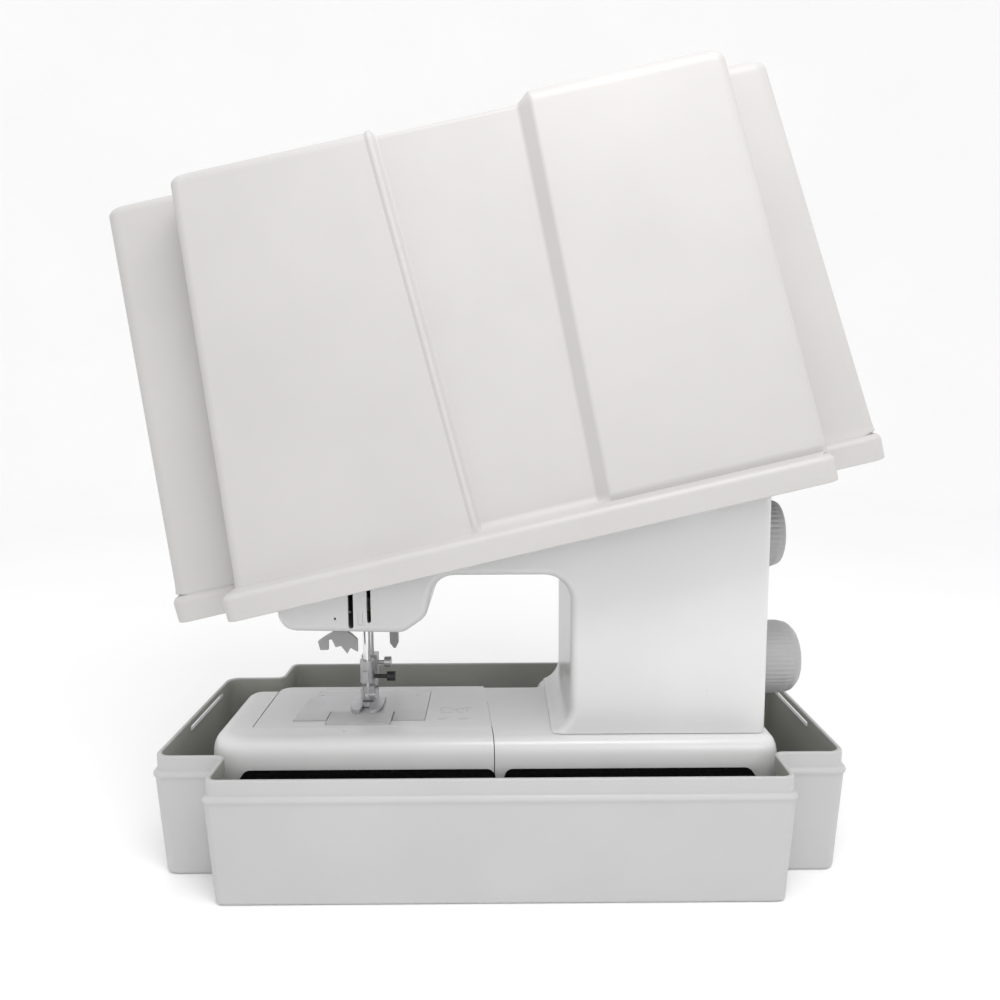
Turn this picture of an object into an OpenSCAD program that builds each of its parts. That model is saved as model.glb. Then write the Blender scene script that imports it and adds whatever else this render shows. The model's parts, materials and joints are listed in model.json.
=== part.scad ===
// Free-arm sewing machine standing in its hard carrying case.
// Frame: millimetres, +X to the handwheel end, +Y to the back, +Z up.
// The origin is the middle of the case tray's flat underside.

/* [Case] */
// Width over the two end bays, measured on the tray lip
case_w = 467; // [463:1:470]
// Depth over the deep middle bay, measured on the tray lip
case_d = 236; // [233:1:238]
// Width of the deep middle bay
bay_w = 374; // [371:1:376]
// Depth of the two shallow end bays
end_d = 162; // [160:1:166]
// Height of the tray to the top of its lip
tray_h = 86; // [84:1:88]
// Wall of the tray and the cover
case_wall = 2.6; // [2.2:0.1:3]
// Height of the cover above its shoulder, at the middle
cover_h = 245; // [240:1:248]
// How much the lid falls towards the right end
lid_slope = 0.02; // [0.015:0.005:0.04]
// Angle that the cover is held open by
cover_tilt = 13; // [11:0.5:14]

/* [Machine] */
// Left end of the accessory box
bed_left = -203; // [-205:1:-198]
// Right end of the base
bed_right = 194; // [190:1:195]
// Height of the bed above the tray's underside
bed_z = 92; // [92:1:92]
// Top of the arm
arm_top = 292; // [288:1:294]
// Underside of the arm
arm_under = 204; // [202:1:206]
// Left face of the pillar
pillar_left = 49; // [46:1:52]
// Right face of the pillar
pillar_right = 185; // [182:1:185]
// Left face of the head
head_left = -152; // [-154:1:-150]
// Underside of the head
head_under = 166; // [165:1:167]
// Wall of the plastic casings
shell_wall = 2.5; // [2:0.1:3]

/* [Mechanism] */
// Needle line, left or right
needle_x = -100; // [-100:1:-100]
// Needle line, front or back
needle_y = -4; // [-4:1:-4]
// Height of the main shaft
shaft_z = 223.5; // [222:0.5:225]
// Height of the lower shaft
lower_z = 54; // [54:1:54]
// Travel of the needle bar
stroke = 28; // [26:1:28]
// Radius of the handwheel
handwheel_r = 25; // [23:1:26]
// Radius of the pattern dial
dial_r = 26.5; // [24:0.5:27]

/* [Hidden] */
$fn = 48;
gap = 0.3;          // free space between a moving piece and its neighbour
run = 0.05;         // radial clearance of a shaft in its bush
floor_z = 3;        // inside floor of the tray
foot_h = 4;         // rubber feet of the machine
pan_z = floor_z + 0.2 + foot_h;
pan_t = 5;
box_z = pan_z + pan_t + 1;
shaft_y = needle_y;
shaft_r = 5;
rod_r = 3;          // needle bar and presser bar
shoulder_z = 97;    // top of the cover's shoulder when the cover is closed
skirt_z = 76.5;     // lower edge of the cover's skirt when the cover is closed
pole_x = -668;      // axis about which the cover comes down from its held pose
pole_z = 239;
front_y = -62;      // front face of the upper casing
rear_y = 58;        // rear face of the upper casing
seam_y = -3;        // where the two halves of the upper casing meet
bed_front = -71;
bed_back = 66;
arm_front = -46;    // front of the free arm
arm_back = 38;      // back of the free arm
arm_left = -176;    // left end of the free arm
arm_bottom = 38;    // underside of the free arm
base_left = -5;     // where the free arm leaves the base
rear_left = 30;     // left end of the base behind the free arm
plate_x0 = -150;
plate_x1 = -54.5;
plate_y0 = -35;
plate_y1 = 26;
hook_x = -102;
hook_y = -22.5;
hook_r = 17;
presser_y = 12;
motor_y = 8;
motor_z = 50;
motor_pulley_r = 6.5;
drive_pulley_r = 26;
timing_r = 16;
crank_throw = stroke / 2;
dial_y = -20;
dial_z = 134;
latch_y = 20;
latch_pin_x = case_w / 2 + 4;
corner_radii = [8, 8, 6, 5, 1, 1, 1, 1, 5, 6, 8, 8, 6, 5, 1, 1, 1, 1, 5, 6];
latch_pin_z = 64;

// ---------- paths and solids ----------

function unit(v) = v / norm(v);

// Points of an arc about c from angle a0 to a1.
function arc(c, r, a0, a1, n) =
    [for (i = [0:n]) let (a = a0 + (a1 - a0) * i / n) c + r * [cos(a), sin(a)]];

// One corner of a path, rounded to radius r in n steps; a straight one gets n + 1 spaced points.
function corner(a, b, c, r, n) =
    norm(unit(a - b) + unit(c - b)) < 0.001 ? [for (i = [0:n]) b + (i - n / 2) * 0.3 * unit(c - b)] :
    let (u = unit(a - b), v = unit(c - b), half = acos(max(-1, min(1, u * v))) / 2)
    let (m = b + unit(u + v) * r / sin(half), p = b + u * r / tan(half), q = b + v * r / tan(half))
    let (a0 = atan2(p.y - m.y, p.x - m.x), a1 = atan2(q.y - m.y, q.x - m.x))
    let (turn = (a1 - a0 + 540) % 360 - 180)
    r <= 0 ? [for (i = [0:n]) b] : arc(m, r, a0, a0 + turn, n);

// A closed path with its corners rounded; r is one radius or a list of them.
function round_path(pts, r, n = 5) =
    let (m = len(pts))
    [for (i = [0:m - 1])
        each corner(pts[(i + m - 1) % m], pts[i], pts[(i + 1) % m], is_list(r) ? r[i] : r, n)];

function middle(pts, i = 0) = i == len(pts) - 1 ? pts[i] / len(pts) : pts[i] / len(pts) + middle(pts, i + 1);

function rect(x0, y0, x1, y1) = [[x0, y0], [x1, y0], [x1, y1], [x0, y1]];

// A solid through rings of equal length, closed at both ends by a fan about the ring's middle.
module skin(rings) {
    n = len(rings[0]);
    last = len(rings) - 1;
    first_mid = n * (last + 1);
    faces = concat(
        [for (i = [0:n - 1]) [first_mid, i, (i + 1) % n]],
        [for (k = [0:last - 1], i = [0:n - 1]) [k * n + i, (k + 1) * n + i, (k + 1) * n + (i + 1) % n]],
        [for (k = [0:last - 1], i = [0:n - 1]) [k * n + i, (k + 1) * n + (i + 1) % n, k * n + (i + 1) % n]],
        [for (i = [0:n - 1]) [first_mid + 1, last * n + (i + 1) % n, last * n + i]]
    );
    points = concat([for (r = rings) each r], [middle(rings[0]), middle(rings[last])]);
    polyhedron(points = points, faces = faces);
}

module box(lo, hi) translate(lo) cube(hi - lo);

// A plate with rounded corners in plan.
module slab(x0, y0, x1, y1, z0, z1, r) {
    translate([0, 0, z0]) linear_extrude(z1 - z0) polygon(round_path(rect(x0, y0, x1, y1), r));
}

// Cylinders along each axis, from p over length h.
module along_x(p, r, h) translate(p) rotate([0, 90, 0]) cylinder(r = r, h = h);
module along_y(p, r, h) translate(p) rotate([-90, 0, 0]) cylinder(r = r, h = h);
module along_z(p, r, h) translate(p) cylinder(r = r, h = h);

// A prism of a path in the X-Z plane, from y0 to y1.
module front_prism(path, y0, y1) {
    translate([0, y1, 0]) rotate([90, 0, 0]) linear_extrude(y1 - y0) polygon(path);
}

// A prism of a path in the Y-Z plane, from x0 to x1.
module side_prism(path, x0, x1) {
    translate([x0, 0, 0]) rotate([90, 0, 90]) linear_extrude(x1 - x0) polygon(path);
}

// The outline of a belt round two circles, the first above the second.
function belt_path(c1, r1, c2, r2) =
    let (d = c1 - c2, along = atan2(d.y, d.x), spread = acos((r2 - r1) / norm(d)))
    concat(arc(c1, r1, along - spread, along + spread, 24),
           arc(c2, r2, along + spread, along + 360 - spread, 24));

module belt(c1, r1, c2, r2, x0, x1, t) {
    difference() {
        side_prism(belt_path(c1, r1 + t, c2, r2 + t), x0, x1);
        side_prism(belt_path(c1, r1 + 0.15, c2, r2 + 0.15), x0 - 1, x1 + 1);
    }
}

// ---------- carrying case ----------

// Plan of the case: a deep middle bay and two shallow end bays, grown by g.
// Its points pair with those of the cover's plan, which has three bands with edges near xa and xb.
function case_plan(g, xa = -29, xb = 51) =
    let (bx = bay_w / 2 + g, by = case_d / 2 + g, ex = case_w / 2 + g, ey = end_d / 2 + g)
    round_path([
        [ex, -ey], [ex, ey], [bx, ey], [bx, by], [xb + 3, by], [xb - 3, by], [xa + 2, by],
        [xa - 2, by], [-bx, by], [-bx, ey], [-ex, ey], [-ex, -ey], [-bx, -ey], [-bx, -by], [xa - 2, -by],
        [xa + 2, -by], [xb - 3, -by], [xb + 3, -by], [bx, -by], [bx, -ey]
    ], corner_radii, 4);

function ring(path, z) = [for (p = path) [p.x, p.y, z]];

module case_tray() {
    draft = 2.2;    // how much narrower the tray is at its foot than at its lip
    step = 1.2;     // how far the wall stands out below the lip
    foot_r = 2.5;
    bead = 2;
    wall_top = 70;
    outer = concat(
        [for (a = [0:30:90]) ring(case_plan(-draft - foot_r * (1 - sin(a))), foot_r * (1 - cos(a)))],
        [ring(case_plan(step), wall_top), ring(case_plan(bead), wall_top + 2),
         ring(case_plan(bead), wall_top + 5), ring(case_plan(0), wall_top + 6), ring(case_plan(0), tray_h)]
    );
    inner = [
        ring(case_plan(-case_wall), tray_h),
        ring(case_plan(-case_wall), wall_top + 4),
        ring(case_plan(step - case_wall), wall_top),
        ring(case_plan(-draft - case_wall), foot_r + 4),
        ring(case_plan(-draft - case_wall - 4), floor_z)
    ];
    color("gainsboro") difference() {
        skin(concat(outer, inner));
        for (side = [-1, 1])
            translate([side * case_w / 2, latch_y, 79.5]) cube([14, 74, 3.5], center = true);
    }
    color("gainsboro") for (side = [-1, 1], y = [latch_y - 24, latch_y + 24]) difference() {
        box([side > 0 ? case_w / 2 - 1 : -latch_pin_x - 2.4, y - 2.5, latch_pin_z - 3],
            [side > 0 ? latch_pin_x + 2.4 : 1 - case_w / 2, y + 2.5, latch_pin_z + 5.5]);
        along_y([side * latch_pin_x, y - 3, latch_pin_z], 1.25, 6);
    }
}

module foam_blocks() {
    color("#141414") for (x = [-174, 3])
        slab(x, -case_d / 2 + 10.5, x + 171, bed_front - 0.6, floor_z + 0.3, 72, 6);
}

module latch_pins() {
    color("silver") for (side = [-1, 1])
        along_y([side * latch_pin_x, latch_y - 26.5, latch_pin_z], 1.25, 53);
}

// A swing latch, hanging open against the end wall. side is -1 at the left end and 1 at the right.
module latch(side) {
    color("gainsboro") translate([side * latch_pin_x, latch_y, latch_pin_z]) mirror([side > 0 ? 0 : 1, 0, 0])
        difference() {
            union() {
                along_y([0, -21, 0], 2.2, 42);
                box([-0.2, -21, -30], [2.2, 21, 0]);
                box([-1.4, -21, -30], [2.2, 21, -27.5]);
            }
            along_y([0, -22, 0], 1.3, 44);
        }
}

// Places what is drawn closed at the angle at which the cover is held.
module held_open() {
    translate([pole_x, 0, pole_z]) rotate([0, -cover_tilt, 0]) translate([-pole_x, 0, -pole_z]) children();
}

// Plan of the cover's wall at height h above the shoulder, grown by g.
// The middle band sinks by m and the right one stands out by q.
function cover_plan(h, g, m = 3.2, q = 2.6) =
    let (s = h / 238, bl = 184 - 24 * s + g, br = 190 - 12 * s + g, by = 113.5 - 12 * s + g)
    let (ex = 236 - 21 * s + g, ey = 80 - 12 * s + g, xa = -29 - 8 * s, xb = 51 + 6 * s)
    round_path([
        [ex, -ey], [ex, ey], [br, ey], [br, by + q], [xb + 3, by + q], [xb - 3, by - m], [xa + 2, by - m],
        [xa - 2, by], [-bl, by], [-bl, ey], [-ex, ey], [-ex, -ey], [-bl, -ey], [-bl, -by], [xa - 2, -by],
        [xa + 2, -by + m], [xb - 3, -by + m], [xb + 3, -by - q], [br, -by - q], [br, -ey]
    ], corner_radii, 4);

// The same as a ring, raised further by rise and sloped like the lid.
function cover_ring(h, g, rise = 0) =
    [for (p = cover_plan(h, g)) [p.x, p.y, shoulder_z + h + rise - lid_slope * p.x * (h + rise) / cover_h]];

// Places what is drawn on a level lid, with its outside at height 0, on the lid of the held cover.
module on_lid() {
    held_open() translate([0, 0, shoulder_z + cover_h]) rotate([0, atan(lid_slope), 0]) children();
}

module case_cover() {
    t = case_wall;
    lip = 1.5;      // clearance of the skirt round the tray's lip
    top_r = 6;
    pocket = 16;
    inner = [
        cover_ring(cover_h - t, -t - 5),
        cover_ring(cover_h - t - 5, -t),
        ring(cover_plan(0, -t), shoulder_z - 1),
        ring(case_plan(lip), shoulder_z - 5),
        ring(case_plan(lip), skirt_z)
    ];
    outer = concat(
        [ring(case_plan(lip + t), skirt_z), ring(case_plan(lip + t), shoulder_z - 4),
         ring(case_plan(lip + t - 1.8), shoulder_z - 1), ring(cover_plan(0, 0), shoulder_z + 1)],
        [for (a = [0:30:90]) cover_ring(cover_h - top_r, -top_r * (1 - cos(a)), top_r * sin(a))]
    );
    color("whitesmoke") difference() {
        union() {
            held_open() skin(concat(inner, outer));
            on_lid() box([-52, -26, -pocket - t], [56, 26, -t + 0.5]);
        }
        on_lid() box([-49.4, -23.4, -pocket], [53.4, 23.4, 3]);
        on_lid() along_x([-53, 0, -8], 2.02, 108);
    }
}

// Folding strap handle in the pocket of the cover's top.
module case_handle() {
    z = -8;
    color("whitesmoke") on_lid() difference() {
        union() {
            for (x = [-48, 44]) {
                along_x([x, 0, z], 5, 8);
                box([x, -18, z - 4], [x + 8, 0, z + 4]);
            }
            box([-48, -22.5, z - 4.5], [52, -13, z + 4.5]);
        }
        along_x([-49, 0, z], 2.05, 102);
    }
}

module case_handle_pins() {
    color("silver") on_lid() for (x = [-51.9, 42]) along_x([x, 0, -8], 2, 12.9);
}

// ---------- machine casings ----------

// Outline of the upper casing in the X-Z plane: pillar, arm and head.
upper_path = round_path([
    [pillar_right, bed_z + 0.2], [pillar_right, arm_top], [head_left, arm_top], [head_left, head_under],
    [-66, head_under - 2], [-52, head_under + 10], [-43, arm_under], [pillar_left, arm_under],
    [pillar_left, bed_z + 18], [pillar_left - 3, bed_z + 8], [pillar_left - 9, bed_z + 2.5],
    [pillar_left - 18, bed_z + 0.2]
], [0, 24, 26, 12, 5, 12, 16, 17, 6, 6, 6, 0], 6);

upper_cavity = round_path([
    [pillar_right - shell_wall, bed_z - 3], [pillar_right - shell_wall, arm_top - shell_wall],
    [head_left + shell_wall, arm_top - shell_wall], [head_left + shell_wall, head_under + shell_wall],
    [-67, head_under + shell_wall - 1.8], [-54.5, head_under + 11], [-45, arm_under + shell_wall],
    [pillar_left + shell_wall, arm_under + shell_wall], [pillar_left + shell_wall, bed_z - 3]
], [0, 21.5, 23.5, 9.5, 4, 10, 14, 17, 0], 6);

// Holes that both halves of the upper casing share.
module upper_holes() {
    along_x([pillar_right - 5, shaft_y, shaft_z], shaft_r + 2, 10);
    along_x([pillar_right - 5, dial_y, dial_z], 8, 10);
    box([needle_x - 7.5, needle_y - 6, head_under - 5], [needle_x + 7.5, presser_y + 7, head_under + 6]);
    box([needle_x - 17, -19, head_under - 5], [needle_x - 9.5, -11, head_under + 6]);
    box([head_left - 2, -34, 186], [head_left + 5, 30, 270]);
    along_z([-20, 34, arm_top - 5], 5.5, 10);
    slab(134, -33, 166, -7, arm_top - 5, arm_top + 5, 6);
    along_z([172, -14, arm_top - 15], 2.1, 20);
}

module front_casing() {
    color("white") difference() {
        front_prism(upper_path, front_y, seam_y);
        front_prism(upper_cavity, front_y + shell_wall, seam_y + 1);
        upper_holes();
        box([needle_x - 3, front_y - 1, head_under + 2], [needle_x + 0.6, front_y + 6, 274]);
        box([-90.2, front_y - 1, head_under + 6], [-87.4, front_y + 6, 274]);
        along_y([-58, front_y - 1, 250], 4.5, 8);
        along_y([128, front_y - 1, 262], 4.5, 8);
        along_y([80, front_y - 1, 262], 8.5, 8);
    }
}

module rear_casing() {
    color("white") difference() {
        front_prism(upper_path, seam_y + 0.1, rear_y);
        front_prism(upper_cavity, seam_y - 1, rear_y - shell_wall);
        upper_holes();
        along_y([-88, rear_y - 8, 176], 4.5, 12);
        for (p = [[-120, 200], [-120, 270], [70, 120], [165, 120], [165, 275]])
            along_y([p.x, rear_y - 8, p.y], 1.8, 12);
    }
}

module face_plate() {
    color("white") difference() {
        union() {
            box([head_left - 0.6, -33.7, 186.3], [head_left + 1.4, 29.7, 269.7]);
            box([head_left + 1.4, -32, 188], [head_left + 2.4, 28, 268]);
        }
        along_x([head_left - 2, -2, 194], 1.8, 8);
    }
}

module bed_casing() {
    t = shell_wall;
    hollow_top = bed_z - t;
    color("white") difference() {
        union() {
            slab(base_left, bed_front, bed_right, arm_back, pan_z + pan_t, bed_z, 12);
            slab(rear_left, bed_front, bed_right, bed_back, pan_z + pan_t, bed_z, 12);
            slab(arm_left, arm_front, base_left + 20, arm_back, arm_bottom, bed_z, 6);
        }
        slab(base_left + t, bed_front + t, bed_right - t, arm_back - t, pan_z, hollow_top, 10);
        slab(rear_left + t, bed_front + t, bed_right - t, bed_back - t, pan_z, hollow_top, 10);
        box([arm_left + t, arm_front + t, arm_bottom + t], [base_left + 8, arm_back - t, hollow_top]);
        box([plate_x0 - gap, plate_y0 - gap, bed_z - 4], [plate_x1 + gap, plate_y1 + gap, bed_z + 1]);
        box([-125.6, -42.5, bed_z - 4], [-78.4, plate_y0 + 1, bed_z + 1]);
        box([58, -50, bed_z - 4], [176, 50, bed_z + 1]);
        box([bed_right - 4, 14, 40], [bed_right + 1, 34, 54]);
        box([bed_right - 4, -16, 36], [bed_right + 1, 6, 58]);
    }
}

module base_pan() {
    color("gainsboro") difference() {
        union() {
            slab(base_left, bed_front, bed_right, arm_back, pan_z, pan_z + pan_t - 0.1, 12);
            slab(rear_left, bed_front, bed_right, bed_back, pan_z, pan_z + pan_t - 0.1, 12);
            slab(-172, -40, base_left + 20, arm_back, pan_z, pan_z + pan_t - 0.1, 8);
        }
        for (x = [46, 155], y = [-50, 40]) along_z([x, y, pan_z - 1], 2.1, 10);
    }
}

module rubber_feet() {
    color("#303030") for (p = [[-158, -28], [-158, 26], [8, -62], [42, 54], [178, -60], [178, 52]])
        along_z([p.x, p.y, floor_z + 0.2], 8, foot_h - 0.05);
}

// Cast skeleton that carries every shaft.
module machine_frame() {
    fy = 40;        // back plate
    color("silver") difference() {
        union() {
            slab(2, -64, 184, 33, pan_z + pan_t + 0.2, 18, 8);
            slab(36, -64, 184, 60, pan_z + pan_t + 0.2, 18, 8);
            box([84, fy, 18], [160, fy + 8, 282]);
            box([-128, fy, 214], [160, fy + 8, 282]);
            box([-150, 28, 58], [84, 35, 74]);
            box([84, 28, 18], [92, fy + 8, 74]);
            for (x = [-60, 130]) {
                box([x, shaft_y - 10, shaft_z - 10], [x + 10, fy, shaft_z + 10]);
            }
            for (x = [-70, 40]) {
                box([x, shaft_y - 9, lower_z - 9], [x + 9, 28, lower_z + 9]);
            }
            for (z = [[168.8, 178], [244, 250]])
                box([needle_x - 8, needle_y - 9, z[0]], [needle_x + 6, fy, z[1]]);
            box([needle_x - 8, fy - 8, 168.8], [needle_x + 8, fy + 8, 220]);
            box([hook_x - 8, hook_y - 8, 59], [hook_x + 8, hook_y + 6, 64.5]);
            box([hook_x - 8, hook_y + 6, 66.5], [hook_x + 8, 28, 70]);
            box([hook_x - 8, hook_y + 4, 59], [hook_x - 6, hook_y + 8, 70]);
            box([hook_x - 8, 26, 66.5], [hook_x + 8, 30, 74]);
            box([needle_x - 12, -26, 232], [needle_x - 8, fy, 250]);
        }
        for (x = [-61, 129]) along_x([x, shaft_y, shaft_z], shaft_r + 2.5, 12);
        for (x = [-71, 39]) along_x([x, shaft_y, lower_z], 4 + 2, 12);
        along_z([needle_x, needle_y, 160], rod_r + 2, 100);
        along_z([needle_x, presser_y, 160], rod_r + 2, 100);
        along_z([hook_x, hook_y, 55], 3 + run, 14);
        along_x([needle_x - 13, -20, 240], 2.5 + run, 6);
    }
}

// The needle plate's plan, with its slanted left side.
plate_path = [
    [plate_x0, plate_y0], [-126, plate_y0], [-126, -18.4], [-78, -18.4], [-78, plate_y0], [plate_x1, plate_y0],
    [plate_x1, plate_y1], [plate_x0 + 7, plate_y1], [plate_x0 + 3.2, plate_y1 - 26]
];

module needle_plate() {
    color("silver") translate([0, 0, bed_z - 1.2]) difference() {
        linear_extrude(1.6) polygon(plate_path);
        for (x = [-109.5, -94.5])
            translate([x, -16, -1]) cube([4, 26, 4]);
        translate([needle_x - 4, needle_y - 1.5, -1]) cube([8, 3, 4]);
        for (x = [-140, -64]) translate([x, 18, -1]) cylinder(r = 2, h = 4);
    }
    color("silver") for (x = [-140, -64]) along_z([x, 18, bed_z - 1], 1.95, 1.6);
}

module bobbin_cover() {
    color("gainsboro") slab(-125.3, -42, -78.7, -18.8, bed_z - 1.4, bed_z + 0.8, 2);
}

// Slides off the free arm to the left; its front part is the hollow accessory store.
module accessory_box() {
    t = 2.2;
    color("white") difference() {
        union() {
            slab(bed_left, bed_front, base_left - 0.8, arm_front - 0.5, box_z, bed_z, 6);
            slab(bed_left, bed_front, arm_left - 0.6, arm_back, box_z, bed_z, 6);
        }
        box([bed_left + 6, bed_front + t, box_z + t], [base_left - 0.8 - t, arm_front + 1, bed_z - 6]);
    }
}

// ---------- top of the machine ----------

module carry_handle() {
    color("white") difference() {
        union() {
            for (x = [24, 118]) {
                along_x([x, 40, arm_top + 6], 5, 8);
                box([x, 6, arm_top + 2.5], [x + 8, 40, arm_top + 9.5]);
            }
            slab(24, -2, 126, 13, arm_top + 1.6, arm_top + 10.4, 6);
        }
        along_x([23, 40, arm_top + 6], 2.05, 104);
    }
}

module handle_pins() {
    color("silver") for (x = [19, 117]) {
        along_x([x, 40, arm_top + 6], 2, 14);
        box([x == 19 ? 18 : 127, 35, arm_top + 0.05], [x == 19 ? 23.5 : 132, 45, arm_top + 10]);
    }
}

module spool_pin() {
    color("white") union() {
        along_z([-20, 34, arm_top - 50], 3, 62);
        along_z([-20, 34, arm_top + 0.3], 9, 3);
        along_z([-20, 34, arm_top - 50], 4.5, 6);
    }
}

module bobbin_winder_arm() {
    color("silver") difference() {
        slab(137, -31, 163, -9, arm_top - 9, arm_top - 4, 5);
        along_z([150, -24, arm_top - 12], 2.05, 12);
        along_z([144, -14, arm_top - 12], 2.05, 12);
    }
}

module bobbin_winder_spindle() {
    color("silver") union() {
        along_z([150, -24, arm_top - 14], 2, 32);
        along_z([150, -24, arm_top - 14], 6, 4.6);
        along_z([150, -24, arm_top - 3.6], 7, 4.6);
    }
}

module winder_stop() {
    color("white") union() {
        along_z([172, -14, arm_top - 28], 2, 30);
        along_z([172, -14, arm_top + 0.1], 4.5, 9);
    }
}

// ---------- drive ----------

module handwheel() {
    color("darkgray") difference() {
        translate([186, shaft_y, shaft_z]) rotate([0, 90, 0]) rotate_extrude() polygon([
            [shaft_r + 0.02, 0], [handwheel_r, 0], [handwheel_r, 15], [handwheel_r - 1.5, 19.5],
            [handwheel_r - 6, 22], [shaft_r + 0.02, 22.5]
        ]);
        for (a = [0:15:345])
            translate([186, shaft_y, shaft_z]) rotate([a, 0, 0])
                along_x([2, 0, handwheel_r + 0.9], 1.6, 12);
    }
}

module main_shaft() {
    color("silver") along_x([-88, shaft_y, shaft_z], shaft_r, 293);
}

module needle_crank() {
    color("dimgray") difference() {
        union() {
            along_x([-88, shaft_y, shaft_z], 9, 12);
            side_prism(round_path([
                [shaft_y - 8, shaft_z + 14], [shaft_y - 5, shaft_z - 20],
                [shaft_y + 5, shaft_z - 20], [shaft_y + 8, shaft_z + 14]
            ], 4), -88, -80);
        }
        along_x([-89, shaft_y, shaft_z], shaft_r + 0.02, 14);
        along_x([-89, shaft_y, shaft_z - crank_throw], 2.5, 12);
    }
}

// A wheel for a belt, with flanges, on a shaft of radius bore.
module belt_wheel(y, z, r, x0, x1, bore) {
    difference() {
        union() {
            along_x([x0, y, z], r, x1 - x0);
            for (x = [x0, x1 - 1]) along_x([x, y, z], r + 2, 1);
        }
        along_x([x0 - 1, y, z], bore + 0.02, x1 - x0 + 2);
    }
}

module drive_pulley() {
    color("dimgray") belt_wheel(shaft_y, shaft_z, drive_pulley_r, 162, 175, shaft_r);
}

module timing_pulley() {
    color("dimgray") belt_wheel(shaft_y, shaft_z, timing_r, 65, 79, shaft_r);
}

module shaft_bushes() {
    color("goldenrod") {
        for (x = [-61, 129]) bush([x, shaft_y, shaft_z], shaft_r, 12);
        for (x = [-71, 39]) difference() {
            along_x([x, shaft_y, lower_z], 6, 11);
            along_x([x - 1, shaft_y, lower_z], 4 + run, 13);
        }
        for (y = [needle_y, presser_y], z = [[160, 18], [238, 12]]) difference() {
            along_z([needle_x, y, z[0]], rod_r + 2, z[1]);
            along_z([needle_x, y, z[0] - 1], rod_r + run, z[1] + 2);
        }
    }
}

module bush(p, r, h) {
    difference() {
        along_x(p, r + 2.5, h);
        along_x(p - [1, 0, 0], r + run, h + 2);
    }
}

module motor() {
    color("dimgray") difference() {
        union() {
            along_x([98, motor_y, motor_z], 22, 56);
            along_x([94, motor_y, motor_z], 9, 66);
            box([100, motor_y - 14, 18.1], [150, motor_y + 14, motor_z - 10]);
        }
        along_x([93, motor_y, motor_z], 2.5 + run, 70);
    }
}

module motor_pulley() {
    color("silver") union() {
        along_x([90, motor_y, motor_z], 2.5, 86);
        along_x([163, motor_y, motor_z], motor_pulley_r, 11);
        for (x = [162, 174]) along_x([x, motor_y, motor_z], motor_pulley_r + 2, 1);
    }
}

module motor_belt() {
    color("#202020")
        belt([shaft_y, shaft_z], drive_pulley_r, [motor_y, motor_z], motor_pulley_r, 164, 173, 1.8);
}

module timing_belt() {
    color("#202020") belt([shaft_y, shaft_z], timing_r, [shaft_y, lower_z], timing_r, 67, 77, 1.8);
}

module lower_shaft() {
    color("silver") union() {
        along_x([-112, shaft_y, lower_z], 4, 196);
        along_x([65, shaft_y, lower_z], timing_r, 14);
        for (x = [65, 78]) along_x([x, shaft_y, lower_z], timing_r + 2, 1);
        difference() {
            along_x([-107, shaft_y, lower_z], 12, 10);
            for (a = [0:15:345])
                translate([0, shaft_y, lower_z]) rotate([a, 0, 0]) along_x([-108, 0, 12.4], 1, 12);
        }
    }
}

module hook() {
    color("silver") difference() {
        union() {
            along_z([hook_x, hook_y, 66.2 + 4.2], hook_r, 14.6);
            along_z([hook_x, hook_y, 45], 3, 26);
            along_z([hook_x, hook_y, 49.5], 6.2, 9.2);
        }
        along_z([hook_x, hook_y, 72.4], hook_r - 1.4, 20);
        for (a = [0:30:330])
            translate([hook_x, hook_y, 0]) rotate([0, 0, a]) along_z([6.6, 0, 49], 1, 11);
    }
}

module bobbin_case() {
    color("#262626") difference() {
        union() {
            along_z([hook_x, hook_y, 72.8], hook_r - 2, 12.6);
            box([hook_x - 3, hook_y - hook_r - 3.2, 85.2], [hook_x + 3, hook_y - hook_r + 6, 87.2]);
        }
        along_z([hook_x, hook_y, 74.4], 11.2, 20);
    }
}

module bobbin() {
    color("lightgray") difference() {
        union() {
            along_z([hook_x, hook_y, 74.8], 3.8, 11);
            for (z = [74.8, 84.8]) along_z([hook_x, hook_y, z], 10.2, 1);
        }
        along_z([hook_x, hook_y, 74], 3, 14);
    }
}

module feed_dog() {
    color("silver") {
        difference() {
            box([-113, -14, 87.2], [-87, 8, 89.4]);
            box([needle_x - 5, needle_y - 4, 86], [needle_x + 5, needle_y + 4, 90]);
        }
        for (x = [-109, -94]) difference() {
            box([x, -13, 89.4], [x + 3, 7, bed_z + 0.3]);
            for (y = [-12:2:7])
                translate([x - 1, y, bed_z + 0.2]) rotate([45, 0, 0]) cube([5, 0.7, 0.7]);
        }
    }
}

// ---------- needle and foot ----------

module needle_bar() {
    color("silver") along_z([needle_x, needle_y, 118], rod_r, 140);
}

module needle_clamp() {
    color("silver") difference() {
        union() {
            along_z([needle_x, needle_y, 111], 5.5, 17);
            box([needle_x - 2, needle_y - 8, 113], [needle_x + 2, needle_y, 121]);
        }
        along_z([needle_x, needle_y, 118], rod_r + 0.01, 20);
        along_z([needle_x, needle_y, 110], 1.02, 10);
        along_x([needle_x + 1.05, needle_y, 115], 1.6, 10);
    }
}

module needle_clamp_screw() {
    color("#202020") union() {
        along_x([needle_x + 1.1, needle_y, 115], 1.55, 16);
        along_x([needle_x + 15, needle_y, 115], 3.6, 6);
    }
}

module needle() {
    color("silver") union() {
        along_z([needle_x, needle_y, 106], 1, 12);
        along_z([needle_x, needle_y, 87], 0.5, 19);
        translate([needle_x, needle_y, 83]) cylinder(r1 = 0.1, r2 = 0.5, h = 4, $fn = 24);
    }
}

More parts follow.
